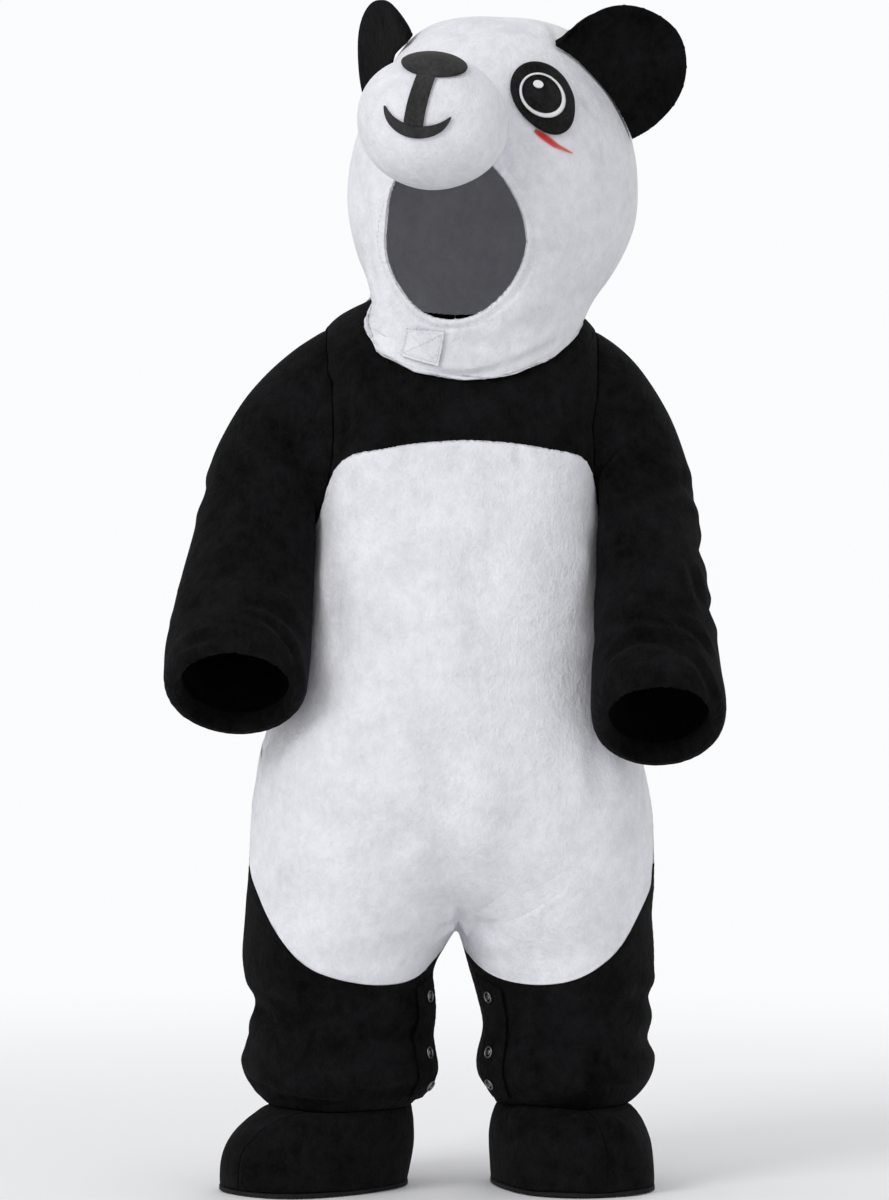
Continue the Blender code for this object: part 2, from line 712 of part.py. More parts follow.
def sleeve_and_hole(side):
    """The sleeve's (points, walls), and the walls that the panels share with it at the armhole."""
    grid = sleeve_grid(side)
    normals = grid_normals(grid)
    middle_ring = len(grid) // 2
    if ((grid[middle_ring] - grid[middle_ring, :-1].mean(axis=0)) * normals[middle_ring]).sum() < 0:
        normals = -normals
    seam_walls = mitre(armhole_loop(side)[1][0], normals[0])
    walls = normals * CLOTH / 2
    walls[0] = seam_walls
    return (pull_back(grid, normals, ["first_row"]), walls), seam_walls


def join_at_centre(halves, first_row=0):
    """Gives both halves of a front panel the same centre column, from a row upwards."""
    for left, right in zip(*halves):
        left[first_row:, -1] = right[first_row:, -1] = (left[first_row:, -1] + right[first_row:, -1]) / 2


def add_suit(ankle_walls):
    """Yoke, body, leg and sleeve pieces, all on the suit's surface."""
    yoke_rows = slice(0, YOKE_ARMHOLE_ROWS + 1)
    body_rows = slice(SIDE_ROWS, SIDE_ROWS + BODY_ARMHOLE_ROWS + 1)
    halves = {name: [] for name in ("front_yoke", "front_body")}
    for side in SIDES:
        sleeve, seam_walls = sleeve_and_hole(side)
        add_cloth(f"sleeve_{side}", [sleeve], PLUSH_BLACK)
        half = YOKE_ARMHOLE_ROWS + BODY_ARMHOLE_ROWS
        walls_of = {-1: seam_walls[: half + 1], 1: seam_walls[half:][::-1]}
        for face, word in ((-1, "front"), (1, "back")):
            around = walls_of[face]
            yoke_walls = around[YOKE_ARMHOLE_ROWS::-1]
            body_walls = around[: YOKE_ARMHOLE_ROWS - 1 : -1]
            ends = ["first_row", "first_column"] + (["last_column"] if face > 0 else [])
            yoke = panel(side, yoke_plan(side, face), ends, yoke_rows, yoke_walls)
            body_ends = ["first_row", "last_row", "first_column"] + (["last_column"] if face > 0 else [])
            plan = body_plan(face)
            body = panel(side, plan, body_ends, body_rows, body_walls)
            if face < 0:
                body = (open_crotch(body[0]), body[1])
                halves["front_yoke"].append(yoke)
                halves["front_body"].append(body)
            else:
                add_cloth(f"back_yoke_{side}", [yoke], PLUSH_BLACK)
                add_cloth(f"back_body_{side}", [body], PLUSH_WHITE)
            leg_ends = ["first_row", "last_row", "first_column", "last_column"]
            leg = panel(side, leg_plan(face), leg_ends, pull=LEG_PULL)
            ring = ankle_walls[side]
            leg[1][0] = ring[PANEL_COLUMNS::-1] if face < 0 else ring[PANEL_COLUMNS:]
            add_cloth(f"leg_{word}_{side}", [leg], PLUSH_BLACK)
    join_at_centre(halves["front_yoke"])
    join_at_centre(halves["front_body"], first_row=1)  # its lowest row ends at the two inseams
    add_cloth("front_yoke", halves["front_yoke"], PLUSH_BLACK)
    add_cloth("front_body", halves["front_body"], PLUSH_WHITE)


def open_crotch(points):
    """Draws the front body's inseam and crotch point forward, clear of the back body."""
    points = points.copy()
    points[0, -1] += SEAM_GAP / 2 * unit(points[0, -2] - points[0, -1])
    points[1, -1] += SEAM_GAP / 2 * unit(points[2, -1] - points[1, -1])
    return points


# Hood


def head_matrix(extra_roll=0.0):
    """Turns head directions (right, back, up) into the costume's."""
    yaw, roll = HEAD_YAW, HEAD_ROLL + extra_roll
    c, s = math.cos(yaw), math.sin(yaw)
    about_z = np.array([[c, -s, 0], [s, c, 0], [0, 0, 1]])
    c, s = math.cos(roll), math.sin(roll)
    about_y = np.array([[c, 0, s], [0, 1, 0], [-s, 0, c]])
    return about_z @ about_y


HEAD = head_matrix()


def on_hem(azimuth):
    """The hood's hem, just outside the yoke, at an angle round the head, in degrees."""
    around = (azimuth + math.degrees(HEAD_YAW - TORSO_YAW) + 180) % 360 - 180
    side = "right" if around >= 0 else "left"
    height = HOOD_HEM(around)[0]
    turn = abs(around) / 90 - 1
    return body_middle(side, height, turn) + body_normal(side, height, turn) * (CLOTH + HEM_EASE)


def hood_middle(azimuth, elevation):
    """A point of the hood's surface: azimuth 0 is the face and grows to the viewer's right."""
    turn = math.radians(azimuth)
    ahead = max(math.cos(turn), 0) ** 2
    free_elevation = max(elevation, LOWEST[0] + (LOWEST[1] - LOWEST[0]) * ahead)
    front, side, back = HOOD(free_elevation)
    end = front if math.cos(turn) > 0 else back
    radius = side + (end - side) * math.cos(turn) ** 2
    lift = math.radians(free_elevation)
    flat = radius * math.cos(lift)
    local = np.array([flat * math.sin(turn), -flat * math.cos(turn), radius * math.sin(lift)])
    point = HEAD_CENTRE + HEAD @ local
    blend = HEM_BLEND[0] + (HEM_BLEND[1] - HEM_BLEND[0]) * ahead
    share = ramp((blend - elevation) / (blend - HEM_ELEVATION))
    if share > 0:
        point = point + share * (on_hem(azimuth) - point)
    return point


def hood_normal(azimuth, elevation):
    """The outward unit normal of the hood."""
    elevation = min(elevation, 88.0)
    across = hood_middle(azimuth + 1, elevation) - hood_middle(azimuth - 1, elevation)
    up = hood_middle(azimuth, elevation + 1) - hood_middle(azimuth, max(elevation - 1, HEM_ELEVATION))
    return unit(np.cross(across, up))


def direction(azimuth, elevation):
    """The head direction for an azimuth and an elevation in degrees."""
    turn, lift = math.radians(azimuth), math.radians(elevation)
    return np.array([math.cos(lift) * math.sin(turn), -math.cos(lift) * math.cos(turn), math.sin(lift)])


def angles_of(towards):
    """(azimuth, elevation) of a head direction."""
    towards = unit(towards)
    return math.degrees(math.atan2(towards[0], -towards[1])), math.degrees(math.asin(towards[2]))


def hood_grid(directions, lift=0.0):
    """Points of the hood and its normals for a grid of head directions, moved out by lift."""
    shape = directions.shape[:2]
    points, normals = np.empty((*shape, 3)), np.empty((*shape, 3))
    for i, j in np.ndindex(*shape):
        place = angles_of(directions[i, j])
        normals[i, j] = hood_normal(*place)
        points[i, j] = hood_middle(*place) + lift * normals[i, j]
    return points, normals


# Hood seams, as head directions


def ear_seam(tilt):
    """A direction on the seam from ear to ear, at an angle from the crown in degrees."""
    turn = math.radians(tilt)
    return unit(np.array([math.sin(turn), CROWN_BACK + SEAM_SWEEP * math.sin(turn) ** 2, math.cos(turn)]))


def hem_directions(start, end, count):
    return np.array([direction(a, HEM_ELEVATION) for a in np.linspace(start, end, count + 1)])


def side_seam_tilts():
    return np.linspace(SEAM_FOOT, CROWN_CORNER, SIDE_SEAM_ROWS + 1)


def face_edge(angle):
    """A direction on the edge of the face opening, 0 on the right and a quarter turn at the top."""
    up = math.sin(angle)
    width = FACE_HALF_WIDTH * math.cos(angle) * (1 + FACE_JAW * max(-up, 0))
    if width > 0:
        width *= 1 - FACE_DART * max(up, 0)
    return direction(width, FACE_MIDDLE + FACE_HALF_HEIGHT * up)


def hood_front_edges(foot):
    """The hood front's outer edge and face opening, point for point, and which points lie on its seam."""
    tilts = side_seam_tilts()
    crown = np.linspace(CROWN_CORNER, -CROWN_CORNER, CROWN_COLUMNS + 1)
    tilts = np.concatenate([tilts, crown[1:], -tilts[-2::-1]])
    seam = np.array([ear_seam(tilt) for tilt in tilts])
    seam[0], seam[-1] = direction(foot, HEM_ELEVATION), direction(-foot, HEM_ELEVATION)
    outer = np.vstack([seam, hem_directions(-foot, foot, BIB_COLUMNS)[1:]])
    corner = 90 - SEAM_SHARE * 180
    at_seam = np.linspace(corner, 180 - corner, len(seam))
    at_bib = np.linspace(180 - corner, 360 + corner, BIB_COLUMNS + 1)[1:]
    inner = np.array([face_edge(angle) for angle in np.radians(np.concatenate([at_seam, at_bib]))])
    on_seam = np.arange(len(outer)) < len(seam)
    on_seam[-1] = True
    return inner, outer, on_seam


def add_hood_front(foot):
    """Rings from the face opening to the ear-to-ear seam and the hem of the bib."""
    inner, outer, on_seam = hood_front_edges(foot)
    shares = np.linspace(0, 1, HOOD_ROWS + 1)[:, None, None]
    points, normals = hood_grid(unit((1 - shares) * inner[None] + shares * outer[None]))
    drawn = pull_back(points, normals, ["last_row"], SEAM_GAP)
    points[-1, on_seam] = drawn[-1, on_seam]
    add_cloth("hood_front", [(points, normals * CLOTH / 2)], PLUSH_WHITE)


def add_hood_back(foot):
    """A grid from the hem at the back of the neck to the ear-to-ear seam."""
    tilts = side_seam_tilts()
    left_edge = np.array([ear_seam(-tilt) for tilt in tilts])
    right_edge = np.array([ear_seam(tilt) for tilt in tilts])
    left_edge[0], right_edge[0] = direction(-foot, HEM_ELEVATION), direction(foot, HEM_ELEVATION)
    bottom = hem_directions(-foot, foot - 360, CROWN_COLUMNS)
    top = np.array([ear_seam(tilt) for tilt in np.linspace(-CROWN_CORNER, CROWN_CORNER, CROWN_COLUMNS + 1)])
    directions = unit(coons(bottom, top, left_edge, right_edge))
    directions[0] = bottom
    points, normals = hood_grid(directions)
    points = pull_back(points, normals, ["last_row", "first_column", "last_column"], SEAM_GAP)
    add_cloth("hood_back", [(points, normals * CLOTH / 2)], PLUSH_WHITE)


# Pieces that lie on the hood


def beside(centre, across, up, tilt=0.0):
    """The head direction that lies some millimetres across and up from a direction, turned by tilt."""
    turn = math.radians(tilt)
    start = direction(*centre)
    right = unit(np.cross(start, (0, 0, -1)))
    above = np.cross(start, right)
    above = above if above[2] > 0 else -above
    sideways = across * math.cos(turn) - up * math.sin(turn)
    upward = across * math.sin(turn) + up * math.cos(turn)
    return unit(start + (sideways * right + upward * above) / HOOD_RADIUS)


def disc_plan(outline, rings):
    """A grid from the middle of a closed outline of (across, up) points to its edge."""
    return np.linspace(0, 1, rings + 1)[:, None, None] * outline[None]


def oval(half_across, half_up, count, egg=0.0):
    """A closed oval of (across, up) points; egg widens its upper end."""
    turns = np.linspace(0, 2 * math.pi, count + 1)
    across = half_across * np.cos(turns) * (1 + egg * np.sin(turns))
    points = np.stack([across, half_up * np.sin(turns)], axis=1)
    points[-1] = points[0]
    return points


def on_hood(plan, centre, lift, tilt=0.0):
    """Points and normals on the hood for a grid of (across, up) places round a direction."""
    directions = np.array([[beside(centre, *place, tilt) for place in row] for row in plan])
    return hood_grid(directions, lift)


def add_eye(side):
    """A dark patch, with a white ring and a highlight on it."""
    sign = SIDES[side]
    centre = (sign * EYE_AZIMUTH, EYE_ELEVATION)
    lift = CLOTH / 2 + EASE + FELT / 2
    patch = disc_plan(oval(*EYE_PATCH, 20, EYE_EGG), 3)
    points, normals = on_hood(patch, centre, lift, sign * EYE_TILT)
    add_cloth(f"eye_patch_{side}", [(points, normals * FELT / 2)], PLUSH_BLACK)
    lift += FELT / 2 + SEAM_GAP + THREAD / 2
    inwards = np.array([-sign, 1])
    circle = oval(EYE_RING, EYE_RING, 20)
    ring = np.array([share * circle + inwards * EYE_RING_PLACE for share in EYE_RING_BAND])
    points, normals = on_hood(ring, centre, lift, sign * EYE_TILT)
    add_cloth(f"eye_ring_{side}", [(points, normals * THREAD / 2)], THREAD_WHITE)
    glint = disc_plan(oval(*EYE_GLINT, 10), 1) + inwards * EYE_GLINT_PLACE
    points, normals = on_hood(glint, centre, lift)
    add_cloth(f"eye_glint_{side}", [(points, normals * THREAD / 2)], THREAD_WHITE)


def add_chin_tab():
    """The hook-and-loop tab that closes the hood under the chin."""
    azimuths, elevations = np.linspace(*TAB_TURNS, 5), np.linspace(*TAB_LIFTS, 4)
    slants = np.linspace(-TAB_SLANT / 2, TAB_SLANT / 2, 4)
    plan = np.array([[direction(a + slant, e) for a in azimuths] for e, slant in zip(elevations, slants)])
    points, normals = hood_grid(plan, CLOTH / 2 + TAB_EASE + FELT / 2)
    add_cloth("chin_tab", [(points, normals * FELT / 2)], PLUSH_WHITE)


def ear_frame(side):
    """Direction and chord of an ear's foot on the head, and its upward, along and forward directions."""
    tilt, ahead_by, turned, leant, _, _ = EARS[side]
    middle = unit(ear_seam(tilt) - (0, ahead_by, 0))
    outwards = ear_seam(tilt + 1) - ear_seam(tilt - 1)
    outwards = unit(outwards - (outwards @ middle) * middle) * SIDES[side]
    backwards = np.cross(middle, outwards) * SIDES[side]
    turn, lean = math.radians(turned), math.radians(leant)
    chord = math.cos(turn) * outwards + math.sin(turn) * backwards
    out, along = HEAD @ middle, HEAD @ chord
    ahead = np.cross(along, out) * SIDES[side]
    leaning = math.cos(lean) * out - math.sin(lean) * ahead
    ahead = math.cos(lean) * ahead + math.sin(lean) * out
    return middle, chord, leaning, along, ahead


def ear_foot(middle, chord, share):
    """Place and normal of the ear's foot, at a share from -1 to 1 along it, and the hood's radius there."""
    radius = np.linalg.norm(hood_middle(*angles_of(middle)) - HEAD_CENTRE)
    place = angles_of(middle + chord * share * EAR_HALF_BASE / radius)
    normal = hood_normal(*place)
    return hood_middle(*place) + (CLOTH / 2 + EASE) * normal, normal, radius


def add_ear(side):
    """A soft padded ear that stands by the ear-to-ear seam, looking a little outwards."""
    middle, chord, out, along, ahead = ear_frame(side)
    radius, rise = EARS[side][4:]
    hood_radius = ear_foot(middle, chord, 0)[2]
    centre = HEAD_CENTRE + HEAD @ middle * hood_radius + out * rise
    reach = math.degrees(math.pi / 2 + math.asin(rise / radius)) - EAR_TUCK
    grid = np.empty((EAR_ROWS + 1, EAR_COLUMNS + 1, 3))
    walls = np.empty_like(grid)
    for j, share in enumerate(np.linspace(-1, 1, EAR_COLUMNS + 1)):
        foot, normal, _ = ear_foot(middle, chord, share)
        turn = math.radians(share * reach)
        edge = centre + radius * (out * math.cos(turn) + along * math.sin(turn))
        for i, height in enumerate(np.linspace(0, 1, EAR_ROWS + 1)):
            hollow = EAR_HOLLOW * math.sin(math.pi * height) * (1 - share * share)
            fullness = (1 - height**3) * (1 - 0.6 * abs(share) ** 3)
            half = EAR_EDGE / 2 + (EAR_PADDING - EAR_EDGE) / 2 * fullness
            grid[i, j] = foot + height * (edge - foot) - ahead * hollow
            walls[i, j] = half * unit(ahead - (1 - height) * (ahead @ normal) * normal)
    add_cloth(f"ear_{side}", [(grid, walls)], PLUSH_BLACK)


# Muzzle


MUZZLE = head_matrix(MUZZLE_ROLL)
MUZZLE_CENTRE = HEAD_CENTRE + HEAD @ np.array(MUZZLE_PLACE)


def muzzle_point(alpha, psi, lift=0.0):
    """A point of the padded muzzle; psi is the angle from its tip, alpha goes round it."""
    shape = np.array([math.sin(psi) * math.cos(alpha), -math.cos(psi), math.sin(psi) * math.sin(alpha)])
    normal = unit(shape / MUZZLE_SIZE)
    return MUZZLE_CENTRE + MUZZLE @ (shape * MUZZLE_SIZE + lift * normal), MUZZLE @ normal


def add_muzzle():
    """One padded body: a dome whose back follows the hood."""
    around = np.linspace(0, 2 * math.pi, 21)
    down = np.radians(np.linspace(0, MUZZLE_TURN, MUZZLE_DOME_ROWS + 1))
    dome = np.array([[muzzle_point(alpha, psi)[0] for alpha in around] for psi in down])
    foot = unit((dome[-1] - HEAD_CENTRE) @ HEAD)
    middle = unit(foot[:-1].mean(axis=0))
    shares = np.array(MUZZLE_BASE_SHARES)[:, None, None]
    base, _ = hood_grid(unit(middle + shares * (foot - middle)[None]), CLOTH / 2 + MUZZLE_EASE)
    grid = np.concatenate([dome, base])
    grid[:, -1] = grid[:, 0]
    grid[0] = grid[0, 0]
    grid[-1] = grid[-1, 0]
    add_solid("muzzle", [(grid, grid - dome.mean(axis=(0, 1)))], PLUSH_WHITE)


def on_muzzle(plan, lift):
    """Points and normals on the muzzle for a grid of (across, up) places measured from its tip."""
    shape = plan.shape[:2]
    points, normals = np.empty((*shape, 3)), np.empty((*shape, 3))
    for i, j in np.ndindex(*shape):
        across, up = plan[i, j]
        psi = math.hypot(across, up) / MUZZLE_GIRTH
        points[i, j], normals[i, j] = muzzle_point(math.atan2(up, across), psi, lift)
    return points, normals


def add_nose_and_mouth():
    """Felt nose, the line below it and the smiling mouth, on the muzzle."""
    lift = SEAM_GAP + FELT / 2
    nose = disc_plan(oval(*NOSE, 18, NOSE_EGG), 3) + (0, NOSE_HEIGHT)
    foot = NOSE_HEIGHT - NOSE[1] - 2 * SEAM_GAP
    smile = np.radians(np.linspace(*MOUTH_ENDS, 13))
    thick = MOUTH_THICK * np.sin(np.linspace(MOUTH_TIP, math.pi - MOUTH_TIP, len(smile))) ** 0.8
    mouth = []
    for share in (0.0, 0.5, 1.0):
        radius = MOUTH_RADIUS + (share - 0.5) * thick
        mouth.append(np.stack([radius * np.cos(smile), MOUTH_MIDDLE + radius * np.sin(smile)], axis=1))
    strip = []
    for share in np.linspace(0, 1, 6):
        row = []
        for a in np.linspace(-NOSE_LINE / 2, NOSE_LINE / 2, 5):
            top = MOUTH_MIDDLE - math.sqrt((MOUTH_RADIUS - MOUTH_THICK / 2) ** 2 - a * a) + 2 * SEAM_GAP
            row.append((a, top + share * (foot - top)))
        strip.append(row)
    strip = np.array(strip)
    for name, plan in (("nose", nose), ("nose_line", strip), ("mouth", np.array(mouth))):
        points, normals = on_muzzle(plan, lift)
        add_cloth(name, [(points, normals * FELT / 2)], FELT_DARK)


# Legs: facing strips and snaps


def on_leg(side, height, turn, lift):
    normal = body_normal(side, height, turn)
    return body_middle(side, height, turn) + lift * normal, normal


def add_facing(side):
    """The strip along the front edge of the inseam, with its ring snaps."""
    lift = CLOTH / 2 + FACING_EASE + FELT / 2
    turns = np.linspace(FACING_START, FACING_START + FACING_TURN, 4)
    tops = [THIGH_SEAM((t - SIDE_SEAM) / (-1 - SIDE_SEAM))[0] - FACING_END for t in turns]
    columns = []
    for turn, top in zip(turns, tops):
        columns.append([on_leg(side, height, turn, lift) for height in np.linspace(FACING_FOOT, top, 10)])
    placed = list(zip(*columns))
    points = np.array([[point for point, _ in row] for row in placed])
    normals = np.array([[normal for _, normal in row] for row in placed])
    add_cloth(f"inseam_facing_{side}", [(points, normals * FELT / 2)], PLUSH_BLACK)
    snap_lift = lift + FELT / 2 + EASE + SNAP_THICK / 2
    for number, height in enumerate(SNAP_HEIGHTS, start=1):
        middle, out = on_leg(side, height, FACING_START + FACING_TURN / 2, snap_lift)
        up = unit(np.array([0, 0, 1]) - out[2] * out)
        across = np.cross(up, out)
        plan = disc_plan(oval(SNAP_RADIUS, SNAP_RADIUS, 12), 1)
        points = middle + plan[..., :1] * across + plan[..., 1:] * up
        walls = np.broadcast_to(out * SNAP_THICK / 2, points.shape)
        add_cloth(f"snap_{side}_{number}", [(points, walls)], SNAP_METAL)


# Booties


def boot_line(start, end, up, toe, handles):
    """A curve from the sole to the ankle, by how it leaves the one and meets the other."""
    first = start + up * handles[0] + toe * handles[1]
    second = end + toe * handles[2] - up * handles[3]
    f = np.linspace(0, 1, BOOT_ROWS + 1)[:, None]
    return (1 - f) ** 3 * start + 3 * f * (1 - f) ** 2 * first + 3 * f * f * (1 - f) * second + f**3 * end


def ankle_ring(side):
    """The leg's lower edge, from the inseam round the front and the outside, as points and normals."""
    front = np.linspace(-1, SIDE_SEAM, PANEL_COLUMNS + 1)
    back = np.linspace(SIDE_SEAM, 1, PANEL_COLUMNS + 1)[1:]
    turns = np.concatenate([front, back])
    points, normals = body_grid(side, np.stack([np.full(len(turns), ANKLE), turns], axis=1)[None])
    return points[0, :-1], normals[0, :-1]


def sole_outline(side, count):
    """The sole's edge from the toe round the outside to the heel and back, and the toe's direction."""
    centre_x, centre_y, turned, _ = FEET[side]
    turn = math.radians(turned)
    toe = np.array([math.sin(turn) * SIDES[side], -math.cos(turn), 0])
    out = np.array([math.cos(turn) * SIDES[side], math.sin(turn), 0])
    angles = np.linspace(0, 2 * math.pi, count + 1)
    ahead = np.sign(np.cos(angles)) * np.abs(np.cos(angles)) ** FOOT_SQUARENESS
    aside = np.sign(np.sin(angles)) * np.abs(np.sin(angles)) ** FOOT_SQUARENESS
    outline = np.outer(FOOT_HALF_LENGTH * ahead, toe) + np.outer(FOOT_HALF_WIDTH * aside, out)
    return outline + (centre_x, centre_y, 0), toe


def add_bootie(side):
    """Outer and inner upper, which meet over the toe and at the heel, on a flat sole."""
    ring_start = FEET[side][3]
    half = PANEL_COLUMNS
    points, normals = ankle_ring(side)
    order = (ring_start + np.arange(2 * half + 1)) % (2 * half)
    top, top_normals = points[order], normals[order]
    outline, toe = sole_outline(side, 2 * half)
    inset = unit(outline - outline[:-1].mean(axis=0)) * (SOLE_RIM + CLOTH / 2)
    foot = outline + (0, 0, SOLE + EASE) - inset
    up = np.array([0, 0, 1.0])
    front = boot_line(foot[0], top[0], up, toe, BOOT_FRONT)
    back = boot_line(foot[half], top[half], up, toe, BOOT_BACK)
    outer = coons(foot[: half + 1], top[: half + 1], front, back)
    inner = coons(foot[half:], top[half:], back, front)
    grid = np.concatenate([outer, inner[:, 1:]], axis=1)
    centre = grid[:, :-1].mean(axis=1, keepdims=True)
    bulge = np.sin(np.linspace(0, math.pi, BOOT_ROWS + 1))[:, None, None] * BOOT_BULGE
    grid = grid + unit((grid - centre) * (1, 1, 0)) * bulge
    out = grid_normals(grid, centre)
    out[0] = unit(out[0] * (1, 1, 0))
    walls = out * CLOTH / 2
    walls[-1] = mitre(top_normals, out[-1])
    for word, part in (("outer", np.s_[:, : half + 1]), ("inner", np.s_[:, half:])):
        piece = pull_back(grid[part], out[part], ["last_row"])
        piece = pull_back(piece, out[part], ["first_column", "last_column"], SEAM_GAP)
        add_cloth(f"bootie_{word}_{side}", [(piece, walls[part])], PLUSH_BLACK)
    ankle_walls = np.empty((2 * half, 3))
    ankle_walls[order] = walls[-1]
    plan = np.linspace(0, 1, 4)[:, None, None]
    middle = outline[:-1].mean(axis=0)
    disc = middle + plan * (outline - middle) + (0, 0, SOLE / 2)
    add_cloth(f"sole_{side}", [(disc, np.broadcast_to(up * SOLE / 2, disc.shape))], PLUSH_BLACK)
    return np.vstack([ankle_walls, ankle_walls[:1]])


def main():
    for thing in list(bpy.data.objects):
        bpy.data.objects.remove(thing, do_unlink=True)
    add_suit({side: add_bootie(side) for side in SIDES})
    foot = angles_of(ear_seam(SEAM_FOOT))[0]
    add_hood_front(foot)
    add_hood_back(foot)
    add_muzzle()
    add_nose_and_mouth()
    add_chin_tab()
    for side in SIDES:
        add_eye(side)
        add_ear(side)
        add_facing(side)


main()
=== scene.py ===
# %% [markdown]
# # A small panda suit, dressed for its picture
# The solids come from the imported model and stay where they are. This script gives each cut piece its cloth:
# a smooth shell on the solid's form, soft creases placed one by one, plush with a nap, felt, thread and metal.
# One choice runs through it all: a crease is a place in space, not a change to one piece, so that two
# pieces that meet at a seam bend together and never part.

import math

import bmesh
import bpy
import numpy as np
from mathutils import Matrix, Vector, noise
from mathutils.bvhtree import BVHTree
from mathutils.kdtree import KDTree


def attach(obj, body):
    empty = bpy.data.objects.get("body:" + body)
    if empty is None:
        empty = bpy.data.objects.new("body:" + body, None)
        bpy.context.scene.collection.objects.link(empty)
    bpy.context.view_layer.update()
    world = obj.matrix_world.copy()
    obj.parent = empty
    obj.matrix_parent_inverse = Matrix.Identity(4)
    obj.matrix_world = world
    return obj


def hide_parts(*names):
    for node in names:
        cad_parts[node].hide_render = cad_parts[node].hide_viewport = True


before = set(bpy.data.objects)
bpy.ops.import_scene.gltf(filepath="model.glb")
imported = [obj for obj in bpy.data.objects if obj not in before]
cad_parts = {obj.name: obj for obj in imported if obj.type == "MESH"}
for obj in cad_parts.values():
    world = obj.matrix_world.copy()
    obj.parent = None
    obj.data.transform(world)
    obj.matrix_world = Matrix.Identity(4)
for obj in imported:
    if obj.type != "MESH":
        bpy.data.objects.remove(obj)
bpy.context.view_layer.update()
MM = 0.001
print("solids:", len(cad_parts))

# %% [markdown]
# ## The camera
# The picture was taken from the front with a long lens, level with the middle of the suit, so the feet show
# from just above and the chin from just below. The camera is placed by that: 2.8 m away, level, with one
# pixel worth 0.66 mm where the body stands. A shorter lens would swell the muzzle, and an orthographic one
# would lose the slight view up under the chin.

# %% Camera
PICTURE = (889, 1200)
PIXEL = 0.66 * MM
EYE = Vector((-0.005, -2.8, -0.174))
SENSOR = 24.0
camera_data = bpy.data.cameras.new("camera")
camera_data.sensor_fit = "VERTICAL"
camera_data.sensor_height = SENSOR
camera_data.lens = SENSOR * -EYE.y / (PICTURE[1] * PIXEL)
camera = bpy.data.objects.new("camera", camera_data)
camera.location = EYE
camera.rotation_euler = (math.pi / 2, 0, 0)
bpy.context.scene.collection.objects.link(camera)
bpy.context.scene.camera = camera
print("lens mm:", round(camera_data.lens, 2))


def sight(turn, x, y):
    """The line of sight through a pixel, from a camera walked round the suit by turn degrees (180 is behind)."""
    walk = Matrix.Rotation(math.radians(turn), 3, "Z")
    ahead = Vector(((x - PICTURE[0] / 2) * PIXEL, -EYE.y, (PICTURE[1] / 2 - y) * PIXEL))
    return walk @ EYE, (walk @ ahead).normalized()


# %% [markdown]
# ## Studio
# A pale floor that fades into a white surround, and broad, soft lamps. The surround looks white to the
# camera but lights the suit with two thirds of that, so that the key lamp, high on the left, can model the
# folds of the white belly. A weak fill keeps the right side open, and a lamp behind picks out the edge of
# the pile. With a surround as bright as it looks, white plush would wash out and its folds would vanish.

# %% Floor, world and lamps
FLOOR_HEIGHT = -0.5606
SURROUND = (0.965, 0.97, 0.98)
SEEN, LIT = 1.0, 0.64  # strength of the surround as the camera sees it, and as it lights the suit
FADE = (0.35, 1.5)  # metres from the suit over which the floor turns into the surround
LAMPS = [  # name, place, aimed at height, size across, power
    ("key", (-1.9, -2.0, 1.5), 0.0, 1.3, 36.0),
    ("fill", (1.9, -2.2, 0.5), -0.1, 1.8, 5.0),
    ("under_fill", (0.2, -2.6, -0.35), -0.2, 1.6, 2.0),
    ("rim", (0.6, 1.9, 1.5), 0.1, 1.4, 12.0),
]


def surround_strength(tree):
    """The surround's strength, which differs for the camera and for the light that it sends."""
    path = tree.nodes.new("ShaderNodeLightPath")
    strength = tree.nodes.new("ShaderNodeMapRange")
    strength.inputs["To Min"].default_value, strength.inputs["To Max"].default_value = LIT, SEEN
    tree.links.new(path.outputs["Is Camera Ray"], strength.inputs["Value"])
    return strength.outputs["Result"]


pale_floor = bpy.data.materials.new("pale_floor")
pale_floor.use_nodes = True
nodes, links = pale_floor.node_tree.nodes, pale_floor.node_tree.links
nodes["Principled BSDF"].inputs["Base Color"].default_value = (0.93, 0.93, 0.94, 1)
nodes["Principled BSDF"].inputs["Roughness"].default_value = 0.95
where = nodes.new("ShaderNodeTexCoord")
away = nodes.new("ShaderNodeVectorMath")
away.operation = "LENGTH"
fade = nodes.new("ShaderNodeMapRange")
fade.interpolation_type = "SMOOTHSTEP"
fade.inputs["From Min"].default_value, fade.inputs["From Max"].default_value = FADE
glow = nodes.new("ShaderNodeEmission")
glow.inputs["Color"].default_value = (*SURROUND, 1)
blend = nodes.new("ShaderNodeMixShader")
links.new(where.outputs["Object"], away.inputs[0])
links.new(away.outputs["Value"], fade.inputs["Value"])
links.new(surround_strength(pale_floor.node_tree), glow.inputs["Strength"])
links.new(fade.outputs["Result"], blend.inputs["Fac"])
links.new(nodes["Principled BSDF"].outputs["BSDF"], blend.inputs[1])
links.new(glow.outputs["Emission"], blend.inputs[2])
links.new(blend.outputs["Shader"], nodes["Material Output"].inputs["Surface"])

floor_mesh = bpy.data.meshes.new("floor")
floor_mesh.from_pydata([(-14, -14, 0), (14, -14, 0), (14, 14, 0), (-14, 14, 0)], [], [(0, 1, 2, 3)])
floor = bpy.data.objects.new("floor", floor_mesh)
floor.location.z = FLOOR_HEIGHT
floor_mesh.materials.append(pale_floor)
bpy.context.scene.collection.objects.link(floor)

